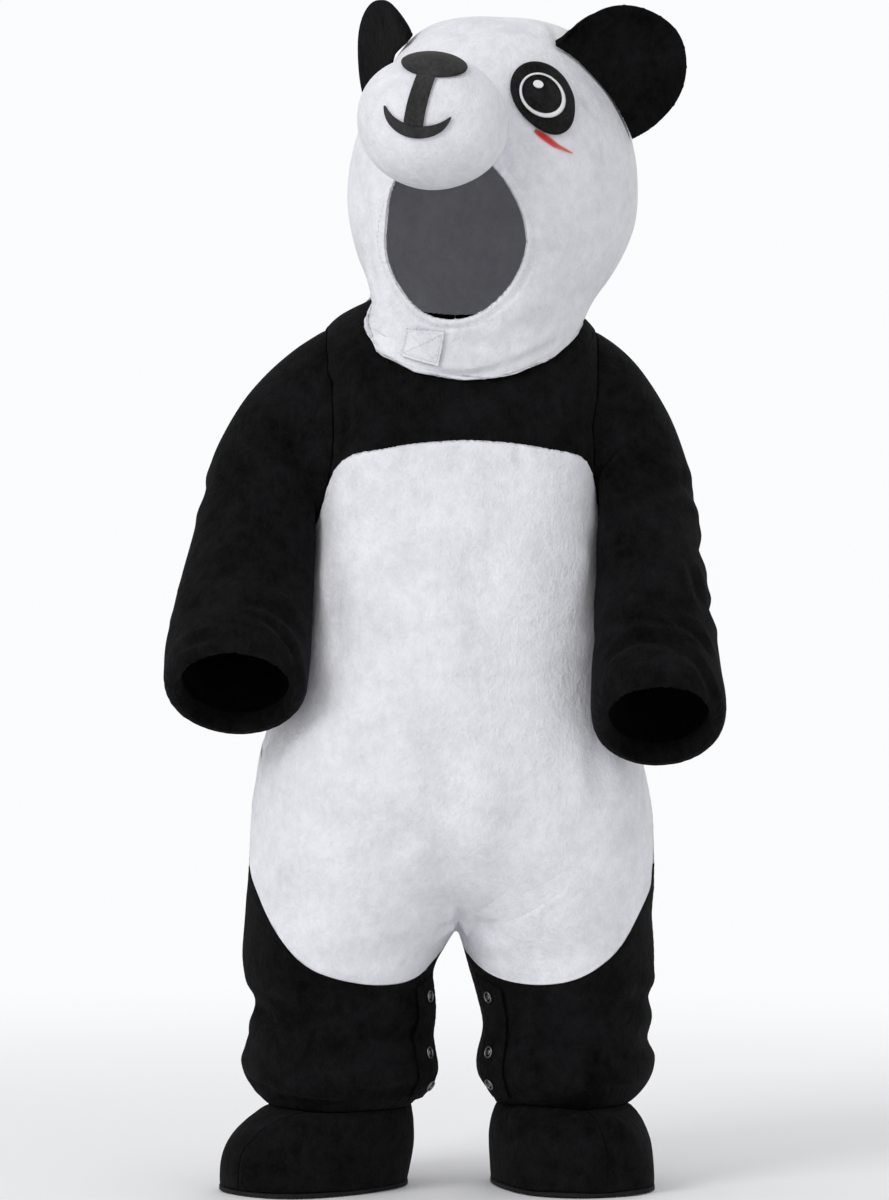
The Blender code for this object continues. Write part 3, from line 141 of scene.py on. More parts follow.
world = bpy.context.scene.world or bpy.data.worlds.new("world")
bpy.context.scene.world = world
world.use_nodes = True
world.node_tree.nodes["Background"].inputs["Color"].default_value = (*SURROUND, 1)
world.node_tree.links.new(
    surround_strength(world.node_tree), world.node_tree.nodes["Background"].inputs["Strength"]
)
for name, place, height, size, power in LAMPS:
    lamp_data = bpy.data.lights.new(name, "AREA")
    lamp_data.size, lamp_data.energy = size, power
    lamp = bpy.data.objects.new(name, lamp_data)
    lamp.location = place
    lamp.rotation_euler = (Vector((0, 0, height)) - Vector(place)).to_track_quat("-Z", "Y").to_euler()
    bpy.context.scene.collection.objects.link(lamp)
bpy.context.scene.view_settings.view_transform = "Standard"
print("lamps:", len(LAMPS))

# %% [markdown]
# ## Plush, as a shared group of nodes
# Plush is a knitted ground with a brushed pile. Three things show: the pile's fine grain, tufts a few
# millimetres across that lean one way, and broad patches where it has been stroked. Each is a noise of its
# own size. The group gives out a tone and a height, and both plushes use it, so that black and white are
# clearly the same cloth. The tone is mostly the height, so the colour is painted darker between the tufts
# (painted shade) and lighter on their tops (painted highlight); the stroked patches are the cloth's own
# random tone. Real hair would need millions of strands for what is under a pixel wide here.

# %% The plush group


def new_group(name, inputs, outputs):
    group = bpy.data.node_groups.new(name, "ShaderNodeTree")
    for label, value in inputs:
        socket = group.interface.new_socket(name=label, in_out="INPUT", socket_type="NodeSocketFloat")
        socket.default_value = value
    for label in outputs:
        group.interface.new_socket(name=label, in_out="OUTPUT", socket_type="NodeSocketFloat")
    return group, group.nodes.new("NodeGroupInput"), group.nodes.new("NodeGroupOutput")


def math_node(nodes, links, operation, first, second):
    node = nodes.new("ShaderNodeMath")
    node.operation = operation
    for socket, value in zip(node.inputs, (first, second)):
        if isinstance(value, (int, float)):
            socket.default_value = value
        else:
            links.new(value, socket)
    return node.outputs[0]


def mixed(nodes, links, first, second, share):
    """Two tones added: the first by its share, the second by the rest."""
    parts = [math_node(nodes, links, "MULTIPLY", *part) for part in ((first, share), (second, 1 - share))]
    return math_node(nodes, links, "ADD", *parts)


def noise_node(nodes, links, vector, scale, detail, roughness):
    node = nodes.new("ShaderNodeTexNoise")
    links.new(vector, node.inputs["Vector"])
    if isinstance(scale, (int, float)):
        node.inputs["Scale"].default_value = scale
    else:
        links.new(scale, node.inputs["Scale"])
    node.inputs["Detail"].default_value = detail
    node.inputs["Roughness"].default_value = roughness
    return node.outputs[0]


PLUSH_SCALES = (560.0, 150.0, 30.0)
FELT_SCALES = (1100.0, 420.0, 60.0)
plush_group, group_in, group_out = new_group(
    "plush_pile", zip(("Grain scale", "Tuft scale", "Stroke scale"), PLUSH_SCALES), ["Tone", "Height"]
)
nodes, links = plush_group.nodes, plush_group.links
coordinates = nodes.new("ShaderNodeTexCoord")
lean = nodes.new("ShaderNodeMapping")
lean.inputs["Rotation"].default_value = (0.3, 0.2, 0.35)
lean.inputs["Scale"].default_value = (1.0, 1.0, 0.8)
links.new(coordinates.outputs["Object"], lean.inputs["Vector"])
grain = noise_node(nodes, links, lean.outputs[0], group_in.outputs["Grain scale"], 3.0, 0.7)
tufts = noise_node(nodes, links, lean.outputs[0], group_in.outputs["Tuft scale"], 2.0, 0.6)
unturned = coordinates.outputs["Object"]
strokes = noise_node(nodes, links, unturned, group_in.outputs["Stroke scale"], 2.0, 0.5)
height = mixed(nodes, links, grain, tufts, 0.45)
# painted shade and painted highlight: the tone is mostly the pile's height, so the colour darkens between tufts
# and lightens on them; the strokes add random tone
tone = mixed(nodes, links, height, strokes, 0.6)
links.new(tone, group_out.inputs["Tone"])
links.new(height, group_out.inputs["Height"])
print("plush group nodes:", len(nodes))

# %% [markdown]
# ## The finishes
# White plush is a cool white whose colour is painted a little darker between its tufts, as painted shade.
# Black plush is near black, its colour painted a little lighter on its tufts as a painted highlight, with a
# grey sheen where the pile turns away: that sheen is what separates a sleeve from the yoke behind it. Felt
# is denser and greyer. Thread is brighter and finer, with a twist of light and dark strands. The snaps are
# dark nickel.

# %% Plush and felt materials


PILE_ROUGHNESS = 0.95
PILE_SPECULAR = 0.08  # low, since a pile hardly mirrors a lamp
PILE_CONTRAST = (0.36, 0.62)  # tones at which the dark and the light colour are reached


def cloth_material(name, dark, light, scales, bump, sheen):
    """A pile cloth: the group's tone, which holds painted shade between the tufts, picks between two colours and
    its height raises the pile.

    bump holds its strength and its height in mm, sheen its weight, roughness and tint.
    """
    material = bpy.data.materials.new(name)
    material.use_nodes = True
    nodes, links = material.node_tree.nodes, material.node_tree.links
    shader = nodes["Principled BSDF"]
    pile = nodes.new("ShaderNodeGroup")
    pile.node_tree = plush_group
    for socket, value in zip(pile.inputs, scales):
        socket.default_value = value
    ramp = nodes.new("ShaderNodeValToRGB")
    for element, place, color in zip(ramp.color_ramp.elements, PILE_CONTRAST, (dark, light)):
        element.position, element.color = place, (*color, 1)
    # painted shade: this tone colours the cloth darker between the tufts and lighter on their tops
    links.new(pile.outputs["Tone"], ramp.inputs["Fac"])
    links.new(ramp.outputs["Color"], shader.inputs["Base Color"])
    raise_pile = nodes.new("ShaderNodeBump")
    raise_pile.inputs["Strength"].default_value = bump[0]
    raise_pile.inputs["Distance"].default_value = bump[1] * MM
    links.new(pile.outputs["Height"], raise_pile.inputs["Height"])
    links.new(raise_pile.outputs["Normal"], shader.inputs["Normal"])
    shader.inputs["Roughness"].default_value = PILE_ROUGHNESS
    shader.inputs["Specular IOR Level"].default_value = PILE_SPECULAR
    shader.inputs["Sheen Weight"].default_value = sheen[0]
    shader.inputs["Sheen Roughness"].default_value = sheen[1]
    shader.inputs["Sheen Tint"].default_value = (*sheen[2], 1)
    return material


# each dark colour is partly painted shade between the tufts, each light colour partly painted highlight on them
white_plush = cloth_material(
    "white_plush", (0.74, 0.74, 0.79), (0.90, 0.90, 0.945), PLUSH_SCALES,
    (0.7, 2.6), (0.12, 0.5, (1, 1, 1)),
)
black_plush = cloth_material(
    "black_plush", (0.0008, 0.0008, 0.001), (0.0085, 0.0085, 0.0095), PLUSH_SCALES,
    (0.9, 3.0), (0.025, 0.4, (0.55, 0.56, 0.6)),
)
dark_felt = cloth_material(
    "dark_felt", (0.022, 0.022, 0.023), (0.05, 0.05, 0.051), FELT_SCALES,
    (0.4, 0.8), (0.1, 0.5, (0.7, 0.7, 0.72)),
)
eye_plush = cloth_material(
    "eye_plush", (0.004, 0.004, 0.0045), (0.02, 0.02, 0.021), FELT_SCALES,
    (0.5, 1.0), (0.06, 0.5, (0.6, 0.6, 0.62)),
)
sole_cloth = cloth_material(
    "sole_cloth", (0.008, 0.008, 0.008), (0.022, 0.022, 0.023), FELT_SCALES,
    (0.4, 0.8), (0.05, 0.5, (0.6, 0.6, 0.62)),
)

# %% Thread and metal materials


def thread_material(name, dark, light, roughness):
    """Spun thread: fine twisted strands along each stitch."""
    material = bpy.data.materials.new(name)
    material.use_nodes = True
    nodes, links = material.node_tree.nodes, material.node_tree.links
    shader = nodes["Principled BSDF"]
    where = nodes.new("ShaderNodeTexCoord")
    twist = noise_node(nodes, links, where.outputs["Object"], 2600.0, 2.0, 0.6)
    ramp = nodes.new("ShaderNodeValToRGB")
    for element, tone, color in zip(ramp.color_ramp.elements, (0.35, 0.65), (dark, light)):
        element.position, element.color = tone, (*color, 1)
    links.new(twist, ramp.inputs["Fac"])
    links.new(ramp.outputs["Color"], shader.inputs["Base Color"])
    shader.inputs["Roughness"].default_value = roughness
    shader.inputs["Specular IOR Level"].default_value = 0.25
    return material


white_thread = thread_material("white_thread", (0.78, 0.78, 0.80), (0.95, 0.95, 0.96), 0.5)
red_thread = thread_material("red_thread", (0.62, 0.002, 0.002), (0.95, 0.006, 0.008), 0.6)

nickel = bpy.data.materials.new("dark_nickel")
nickel.use_nodes = True
nodes, links = nickel.node_tree.nodes, nickel.node_tree.links
where = nodes.new("ShaderNodeTexCoord")
wear = noise_node(nodes, links, where.outputs["Object"], 900.0, 4.0, 0.6)
rough = nodes.new("ShaderNodeMapRange")
rough.inputs["To Min"].default_value, rough.inputs["To Max"].default_value = 0.25, 0.5
links.new(wear, rough.inputs["Value"])
links.new(rough.outputs["Result"], nodes["Principled BSDF"].inputs["Roughness"])
nodes["Principled BSDF"].inputs["Base Color"].default_value = (0.30, 0.295, 0.29, 1)
nodes["Principled BSDF"].inputs["Metallic"].default_value = 1.0
print("materials:", len(bpy.data.materials))

# %% [markdown]
# ## From solid to cloth
# Each solid is a wall of plush made of flat facets. A copy of it is merged, its triangles are paired into
# four-sided faces again, and Subdivision Surface rounds it. The rim of a wall is marked as a crease first,
# so that the cut edge stays where the seam needs it. A voxel remesh would round that rim away and widen
# each seam.

# %% A smooth shell on a solid
RIM_ANGLE = math.radians(50)
PAIR_BEND, PAIR_SKEW = math.radians(40), math.radians(60)  # limits for pairing two triangles
shells = {}
rims = {}


def finished(obj):
    """Applies the modifiers: the same object, with the mesh that they make."""
    made = bpy.data.meshes.new_from_object(obj.evaluated_get(bpy.context.evaluated_depsgraph_get()))
    obj.modifiers.clear()
    made.name = obj.name
    obj.data = made
    return obj


def rim_points(shape, spacing=0.5 * MM):
    """Points along the sharp edges of a wall."""
    found = []
    for edge in shape.edges:
        if edge.calc_face_angle(0) > RIM_ANGLE:
            first, last = (vert.co.copy() for vert in edge.verts)
            count = max(1, int((last - first).length / spacing))
            found += [first.lerp(last, step / count) for step in range(count + 1)]
    return found


def shell(node, name, material, levels):
    """A smooth copy of one cloth solid, as an object of its own."""
    shape = bmesh.new()
    shape.from_mesh(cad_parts[node].data)
    bmesh.ops.remove_doubles(shape, verts=shape.verts, dist=1e-6)
    bmesh.ops.join_triangles(
        shape, faces=shape.faces, angle_face_threshold=PAIR_BEND, angle_shape_threshold=PAIR_SKEW
    )
    crease = shape.edges.layers.float.new("crease_edge")
    for edge in shape.edges:
        edge[crease] = 1.0 if edge.calc_face_angle(0) > RIM_ANGLE else 0.0
    rims[name] = rim_points(shape)
    for face in shape.faces:
        face.smooth = True
    mesh = bpy.data.meshes.new(name)
    shape.to_mesh(mesh)
    shape.free()
    obj = bpy.data.objects.new(name, mesh)
    bpy.context.scene.collection.objects.link(obj)
    rounding = obj.modifiers.new("rounding", "SUBSURF")
    rounding.levels = rounding.render_levels = levels
    finished(obj)
    obj.data.materials.clear()
    obj.data.materials.append(material)
    shells[name] = (obj, node)
    return obj


# %% Every piece of cloth
def pair(piece, *rest):
    """The same row for the left and for the right piece."""
    return [(f"{piece}_{side}", *rest) for side in ("left", "right")]


PIECES = [  # solid, finish, times subdivided
    ("front_body", white_plush, 3),
    *pair("back_body", white_plush, 3),
    ("front_yoke", black_plush, 3),
    *pair("back_yoke", black_plush, 3),
    *pair("sleeve", black_plush, 3),
    *pair("leg_front", black_plush, 3),
    *pair("leg_back", black_plush, 2),
    *pair("inseam_facing", black_plush, 3),
    ("bootie_outer_left", black_plush, 3),
    ("bootie_inner_left", black_plush, 3),
    ("bootie_outer_right", black_plush, 3),
    ("bootie_inner_right", black_plush, 3),
    *pair("sole", sole_cloth, 2),
    ("hood_front", white_plush, 3),
    ("hood_back", white_plush, 3),
    ("chin_tab", white_plush, 3),
    ("muzzle", white_plush, 3),
    *pair("ear", black_plush, 3),
    *pair("eye_patch", eye_plush, 2),
    ("nose", dark_felt, 2),
    ("nose_line", dark_felt, 2),
    ("mouth", dark_felt, 2),
]
for node, material, levels in PIECES:
    shell(node, "cloth_" + node, material, levels)
print("shells:", len(shells), "faces:", sum(len(obj.data.polygons) for obj, _ in shells.values()))

# %% [markdown]
# ## Creases
# A crease is a soft trough with a low shoulder on each side, as long, deep and wide as the photograph
# shows, and each is placed by the pixels it runs through. The same is done for the hidden sides, seen by a
# camera that walks round the suit. A line of sight through each pixel finds the cloth, and every point near
# that line sinks along the cloth's own outward direction. The two faces of a wall sink together, so a wall
# keeps its thickness. A cloth simulation would fold this suit in its own way, and not where the picture has
# it.

# %% Where the creases run
CREASES = [  # turn of the camera, three pixels, half width mm, depth mm (negative is a ridge)
    # front, armholes and yoke
    (0, (338, 372), (347, 405), (343, 446), 5.0, 2.6),
    (0, (322, 352), (330, 372), (340, 398), 7.0, 2.0),
    (0, (612, 385), (606, 420), (604, 470), 5.0, 2.4),
    (0, (372, 398), (400, 420), (440, 428), 13.0, 1.6),
    (0, (500, 424), (545, 412), (580, 392), 13.0, 1.5),
    (0, (352, 440), (343, 452), (331, 462), 4.0, 1.8),
    (0, (560, 440), (585, 430), (604, 410), 7.0, 1.6),
    # front, sleeves
    (0, (608, 477), (626, 460), (648, 449), 5.5, 3.0),
    (0, (646, 498), (668, 485), (693, 476), 5.5, 3.0),
    (0, (616, 541), (634, 548), (650, 562), 8.0, 2.6),
    (0, (690, 560), (697, 582), (703, 610), 5.0, 2.6),
    (0, (628, 590), (655, 604), (690, 604), 9.0, 2.4),
    (0, (612, 505), (622, 520), (640, 525), 8.0, 1.8),
    (0, (214, 455), (240, 470), (262, 468), 9.0, 2.2),
    (0, (300, 480), (282, 505), (255, 515), 9.0, 2.2),
    (0, (190, 560), (215, 572), (250, 568), 9.0, 2.4),
    (0, (308, 548), (290, 575), (262, 585), 8.0, 2.4),
    (0, (186, 580), (196, 600), (214, 610), 6.0, 2.4),
    (0, (268, 430), (285, 445), (300, 470), 10.0, 1.8),
    # front, cuffs
    (0, (174, 652), (210, 637), (250, 648), 3.6, 2.8),
    (0, (255, 617), (287, 640), (303, 684), 3.6, 3.2),
    (0, (269, 646), (288, 668), (288, 706), 3.0, 2.8),
    (0, (283, 652), (298, 670), (299, 700), 2.8, 2.4),
    (0, (240, 600), (276, 612), (306, 640), 5.5, 2.4),
    (0, (604, 664), (640, 640), (684, 652), 3.8, 3.0),
    (0, (672, 622), (697, 634), (712, 660), 4.5, 2.8),
    (0, (684, 652), (704, 672), (716, 712), 3.8, 2.6),
    (0, (594, 628), (620, 618), (660, 622), 5.0, 2.4),
    # front, white body: broad and soft
    (0, (411, 450), (408, 460), (405, 474), 3.5, 1.5),
    (0, (516, 448), (521, 458), (526, 472), 3.5, 1.5),
    (0, (457, 444), (458, 462), (452, 486), 6.0, 1.2),
    (0, (340, 470), (352, 492), (356, 530), 9.0, 1.6),
    (0, (588, 530), (596, 572), (584, 640), 9.0, 2.4),
    (0, (336, 560), (334, 620), (340, 690), 10.0, 2.0),
    (0, (470, 500), (478, 560), (470, 620), 16.0, 1.8),
    (0, (380, 760), (388, 800), (384, 836), 12.0, 2.2),
    (0, (430, 730), (438, 790), (432, 850), 16.0, 2.0),
    (0, (391, 862), (402, 842), (418, 826), 8.0, 1.8),
    (0, (436, 836), (448, 870), (452, 908), 9.0, 2.6),
    (0, (533, 770), (520, 820), (524, 860), 14.0, 1.8),
    (0, (588, 742), (600, 772), (602, 812), 8.0, 2.6),
    (0, (574, 812), (592, 850), (588, 890), 14.0, 1.8),
    (0, (270, 736), (262, 754), (256, 780), 4.0, 2.6),
    (0, (284, 742), (272, 770), (268, 800), 6.0, 2.2),
    (0, (460, 916), (450, 925), (436, 930), 3.6, 2.8),
    (0, (456, 906), (459, 914), (460, 924), 3.0, 2.4),
    (0, (464, 918), (486, 928), (506, 930), 6.0, 2.2),
    (0, (446, 912), (428, 904), (408, 902), 8.0, 1.8),
    (0, (300, 872), (318, 896), (330, 920), 12.0, 1.6),
    (0, (520, 950), (560, 958), (600, 948), 9.0, 1.3),
    (0, (340, 952), (378, 956), (414, 944), 8.0, 1.3),
    # front, legs
    (0, (257, 972), (312, 988), (362, 992), 5.5, 2.8),
    (0, (277, 1013), (312, 1020), (350, 1012), 6.0, 2.6),
    (0, (252, 1004), (268, 1016), (286, 1020), 5.0, 2.6),
    (0, (360, 1030), (392, 1040), (430, 1030), 6.0, 2.6),
    (0, (402, 1046), (418, 1062), (434, 1082), 3.6, 2.4),
    (0, (256, 1058), (300, 1072), (350, 1066), 6.5, 2.6),
    (0, (300, 1040), (330, 1048), (366, 1044), 7.0, 1.8),
    (0, (248, 1080), (262, 1088), (276, 1088), 4.0, 2.6),
    (0, (340, 1086), (380, 1094), (416, 1084), 5.0, 2.6),
    (0, (272, 1096), (320, 1103), (360, 1100), 4.0, 2.4),
    (0, (520, 1010), (562, 1020), (606, 1010), 7.0, 2.4),
    (0, (596, 1000), (620, 1008), (646, 998), 6.0, 2.6),
    (0, (524, 1058), (560, 1072), (600, 1070), 7.0, 2.2),
    (0, (612, 1050), (632, 1058), (652, 1050), 5.0, 2.6),
    (0, (500, 1100), (540, 1108), (590, 1100), 4.5, 2.2),
    (0, (604, 1086), (622, 1092), (642, 1088), 4.0, 2.6),
    # front, booties
    (0, (245, 1136), (266, 1140), (288, 1130), 4.0, 1.8),
    (0, (330, 1134), (360, 1140), (392, 1130), 6.0, 1.6),
    (0, (500, 1124), (516, 1132), (534, 1130), 5.0, 1.8),
    (0, (590, 1126), (612, 1134), (630, 1150), 6.0, 1.6),
    # front, hood
    (0, (514, 130), (524, 148), (530, 172), 4.5, 1.6),
    (0, (500, 132), (508, 158), (522, 186), 3.2, 1.8),
    (0, (600, 120), (588, 104), (572, 84), 5.0, 1.4),
    (0, (551, 24), (557, 34), (559, 46), 4.0, 1.6),
    (0, (432, 24), (450, 30), (474, 34), 6.0, 1.4),
    (0, (560, 200), (572, 225), (570, 255), 14.0, 1.6),
    (0, (590, 160), (606, 190), (606, 222), 13.0, 1.4),
    (0, (560, 290), (582, 296), (604, 286), 11.0, 1.6),
    (0, (372, 240), (370, 262), (378, 284), 4.5, 1.6),
    (0, (368, 200), (364, 222), (368, 244), 5.0, 1.4),
    (0, (452, 340), (470, 346), (492, 344), 6.0, 1.4),
    (0, (500, 332), (526, 328), (550, 314), 8.0, 1.5),
    (0, (430, 372), (468, 377), (506, 366), 2.6, 1.4),
    (0, (506, 366), (534, 354), (560, 338), 2.6, 1.2),
    (0, (384, 300), (392, 318), (400, 330), 4.5, 1.5),
    # back, shoulders and sleeves
    (180, (300, 372), (318, 410), (324, 450), 6.0, 2.4),
    (180, (590, 372), (572, 410), (566, 450), 6.0, 2.4),
    (180, (350, 400), (400, 424), (450, 420), 15.0, 1.6),
    (180, (460, 440), (510, 424), (550, 400), 15.0, 1.6),
    (180, (205, 470), (232, 486), (262, 482), 7.0, 2.8),
    (180, (202, 520), (230, 530), (258, 522), 7.0, 2.8),
    (180, (196, 566), (226, 582), (262, 580), 8.0, 2.6),
    (180, (628, 476), (654, 490), (684, 480), 7.0, 2.8),
    (180, (634, 530), (660, 540), (690, 528), 7.0, 2.8),
    (180, (640, 584), (668, 596), (698, 586), 8.0, 2.6),
    # back, white body
    (180, (320, 560), (372, 584), (420, 580), 14.0, 2.0),
    (180, (470, 600), (524, 612), (570, 594), 14.0, 2.0),
    (180, (300, 690), (360, 712), (420, 704), 12.0, 2.4),
    (180, (468, 716), (530, 722), (586, 704), 12.0, 2.4),
    (180, (280, 800), (300, 850), (296, 900), 13.0, 2.0),
    (180, (600, 800), (588, 850), (596, 896), 13.0, 2.0),
    (180, (300, 930), (352, 950), (410, 930), 8.0, 2.8),
    (180, (478, 932), (536, 950), (590, 934), 8.0, 2.8),
    (180, (430, 880), (440, 908), (446, 930), 6.0, 2.4),
    (180, (462, 884), (454, 906), (448, 926), 6.0, 2.2),
    # back, legs and heels
    (180, (262, 1000), (310, 1012), (370, 1004), 6.0, 2.8),
    (180, (280, 1046), (330, 1056), (384, 1044), 6.0, 2.6),
    (180, (268, 1084), (310, 1094), (360, 1088), 5.0, 2.4),
    (180, (500, 1006), (556, 1020), (610, 1006), 6.0, 2.8),
    (180, (512, 1050), (560, 1062), (616, 1050), 6.0, 2.6),
    (180, (520, 1088), (566, 1098), (612, 1090), 5.0, 2.4),
    # back, hood
    (180, (330, 120), (380, 140), (430, 130), 14.0, 1.6),
    (180, (300, 230), (352, 246), (410, 236), 13.0, 1.8),
    (180, (340, 300), (390, 312), (450, 302), 8.0, 2.0),
    # viewer's right side and left side
    (90, (390, 470), (410, 486), (440, 488), 7.0, 2.4),
    (90, (380, 540), (400, 552), (428, 548), 7.0, 2.6),
    (90, (330, 600), (356, 616), (388, 612), 6.0, 2.6),
    (90, (400, 820), (430, 850), (436, 900), 12.0, 2.0),
    (90, (400, 1004), (440, 1016), (490, 1006), 6.0, 2.6),
    (90, (410, 1050), (450, 1060), (494, 1050), 6.0, 2.4),
    (90, (470, 150), (500, 190), (500, 240), 13.0, 1.6),
    (270, (440, 480), (470, 492), (500, 482), 7.0, 2.4),
    (270, (452, 540), (482, 554), (510, 544), 7.0, 2.6),
    (270, (500, 604), (530, 614), (558, 600), 6.0, 2.6),
    (270, (450, 820), (462, 860), (458, 904), 12.0, 2.0),
    (270, (400, 1010), (446, 1020), (488, 1010), 6.0, 2.6),
    (270, (400, 1056), (440, 1066), (480, 1056), 6.0, 2.4),
    (270, (390, 160), (372, 200), (380, 250), 13.0, 1.6),
]
CREASE_STEPS = 9
LAYER_STEP = 25 * MM  # a longer step between two sights is a jump to another layer

# %% Find each crease on the cloth


def search_tree(names):
    """One tree of faces over several shells, which answers where a line of sight lands."""
    corners, faces = [], []
    for name in names:
        obj = shells[name][0]
        start = len(corners)
        corners += [vert.co.copy() for vert in obj.data.vertices]
        faces += [[start + index for index in face.vertices] for face in obj.data.polygons]
    return BVHTree.FromPolygons(corners, faces)


TRIM = ("eye", "nose", "mouth")
MAIN_CLOTH = [name for name in shells if not any(word in name for word in TRIM)]
cloth_tree = search_tree([name for name in MAIN_CLOTH if "muzzle" not in name and "ear_" not in name])


def bowed(ends, count):
    """Points on a curve through three pixels."""
    first, middle, last = (np.array(end, float) for end in ends)
    for share in np.linspace(0, 1, count):
        before = first * (1 - share) * (1 - 2 * share) + middle * 4 * share * (1 - share)
        yield before + last * share * (2 * share - 1)


def crease_path(turn, ends):
    """Places and outward directions along a crease.

    A sight that misses the cloth, or lands on another layer, is left out.
    """
    places, outs = [], []
    for pixel in bowed(ends, CREASE_STEPS):
        start, ahead = sight(turn, *pixel)
        place, out, _, _ = cloth_tree.ray_cast(start, ahead)
        if place is None or (places and (place - places[-1]).length > LAYER_STEP):
            continue
        places.append(place)
        outs.append(out if out.dot(ahead) < 0 else -out)
    return np.array(places), np.array(outs)


found_creases = []
for turn, first, middle, last, width, depth in CREASES:
    places, outs = crease_path(turn, (first, middle, last))
    if len(places) > 3:
        outs = (outs + np.roll(outs, 1, 0) * (np.arange(len(outs)) > 0)[:, None]) / 2
        outs /= np.linalg.norm(outs, axis=1)[:, None]
        found_creases.append((places, outs, width * MM, depth * MM))
print("creases found:", len(found_creases), "of", len(CREASES))

# %% [markdown]
# ## Sink the cloth into its creases
# For each crease, every point close by is measured to the nearest stretch of its path. The trough is a bell
# curve across the path and fades towards both ends. Slow, small waves in space are added, so that no panel
# is as even as a formula. Last, the seams are sewn: the rims of two neighbours are drawn together over the
# small gap between the solids, and each wall thins towards its rim, which leaves the soft groove that a
# sewn seam has.

# %% Move the points
SHOULDER = 0.4
WAVE = 0.9 * MM
WAVE_LENGTH = 34 * MM
noise.seed_set(7)  # the waves are the same in each run
SEAM_ROUND = 0.55 * MM
SEAM_REACH = 2.4 * MM
LINE_STRETCH = 0.06  # share by which the line below the nose is longer, tucked under nose and mouth


def points_of(obj):
    points = np.empty(len(obj.data.vertices) * 3)
    obj.data.vertices.foreach_get("co", points)
    return points.reshape(-1, 3)


def set_points(obj, points):
    obj.data.vertices.foreach_set("co", points.ravel())
    obj.data.update()


def normals_of(obj):
    normals = np.empty(len(obj.data.vertices) * 3)
    obj.data.vertex_normals.foreach_get("vector", normals)
    return normals.reshape(-1, 3)


def tree_of(places):
    """A tree that finds the nearest of these places."""
    tree = KDTree(len(places))
    for index, place in enumerate(places):
        tree.insert(place, index)
    tree.balance()
    return tree


def own_axes(points):
    """The middle of some points, and their own axes from the longest to the shortest."""
    middle = points.mean(0)
    return middle, np.linalg.svd(points - middle, full_matrices=False)[2]


def bell(distance, middle, width):
    """One where distance is middle, and near nothing at twice the width from it."""
    return np.exp(-(((distance - middle) / width) ** 2))


def creased(points):
    """How far the creases move each point."""
    moved = np.zeros_like(points)
    for places, outs, width, depth in found_creases:
        low, high = places.min(0) - 4 * width, places.max(0) + 4 * width
        near = np.where(((points > low) & (points < high)).all(1))[0]
        if not len(near):
            continue
        best = np.full(len(near), np.inf)
        along, out = np.zeros(len(near)), np.zeros((len(near), 3))
        for index in range(len(places) - 1):
            step = places[index + 1] - places[index]
            share = np.clip(((points[near] - places[index]) @ step) / max(step @ step, 1e-12), 0, 1)
            distance = np.linalg.norm(points[near] - places[index] - share[:, None] * step, axis=1)
            closer = distance < best
            best[closer] = distance[closer]
            along[closer] = ((index + share) / (len(places) - 1))[closer]
            out[closer] = (outs[index] + share[:, None] * (outs[index + 1] - outs[index]))[closer]
        across = best / width
        trough = bell(across, 0, 1) - SHOULDER * bell(across, 2.0, 0.9)
        taper = (4 * along * (1 - along)) ** 0.7
        moved[near] -= out * (depth * trough * taper)[:, None]
    return moved


def waves(points):
    return np.array([noise.noise_vector(Vector(point) / WAVE_LENGTH) for point in points]) * WAVE


PANELS = ("front", "back", "sleeve", "leg", "bootie", "hood")
SEWN = [name for name, (_, node) in shells.items() if node.startswith(PANELS)]
SEAM_GAP = 1.3 * MM  # rims closer than this are sewn together
SEAM_PULL = 3.0 * MM  # how far into a panel the pull of its seam reaches
SEAM_MEET = 0.48  # share of the gap that each of the two rims covers
seam_places = [(place, name) for name in SEWN for place in rims[name]]
seam_tree = tree_of([place for place, _ in seam_places])


def drawn_together(name, points, rim_tree):
    """How far each point near a rim moves towards the rim of the neighbour that it is sewn to."""
    moved = np.zeros_like(points)
    for index, point in enumerate(points if name in SEWN else []):
        place, _, distance = rim_tree.find(point)
        if distance > 2.5 * SEAM_PULL:
            continue
        for other, number, gap in seam_tree.find_n(place, 16):
            if seam_places[number][1] != name and gap < SEAM_GAP:
                moved[index] = (other - place) * SEAM_MEET * math.exp(-((distance / SEAM_PULL) ** 2))
                break
    return moved


def seam_rounding(name):
    """How far a wall thins at its rim: less on a small leg or bootie, and not at all on flat trim."""
    if name not in MAIN_CLOTH:
        return 0
    return SEAM_ROUND * (0.4 if "bootie" in name or "leg" in name else 1)


for name, (obj, node) in shells.items():
    points, normals = points_of(obj), normals_of(obj)
    rim_tree = tree_of(rims[name])
    rim_distance = np.ones(len(points))
    if rims[name]:
        rim_distance = np.array([rim_tree.find(point)[2] for point in points])
    thin = seam_rounding(name) * bell(rim_distance, 0, SEAM_REACH)
    thin[rim_distance < 0.2 * MM] *= 0.3
    sewn = drawn_together(name, points, rim_tree)
    set_points(obj, points + creased(points) + waves(points) + sewn - normals * thin[:, None])
print("moved", sum(len(obj.data.vertices) for obj, _ in shells.values()), "points")

line_piece = shells["cloth_nose_line"][0]
points = points_of(line_piece)
middle, axes = own_axes(points)
set_points(line_piece, points + np.outer((points - middle) @ axes[0], axes[0]) * LINE_STRETCH)

# %% [markdown]
# ## Edges, cuffs and ankles
# The face opening is hemmed over an elastic: a narrow raised channel runs round it, with a groove where it
# is sewn and fine puckers across it. Cuffs and ankles are gathered the same way. Their puckers are uneven
# waves round the opening that fade within a few centimetres. They are worked out from the angle round the
# opening, because thirty creases placed by pixels would look more regular, not less.

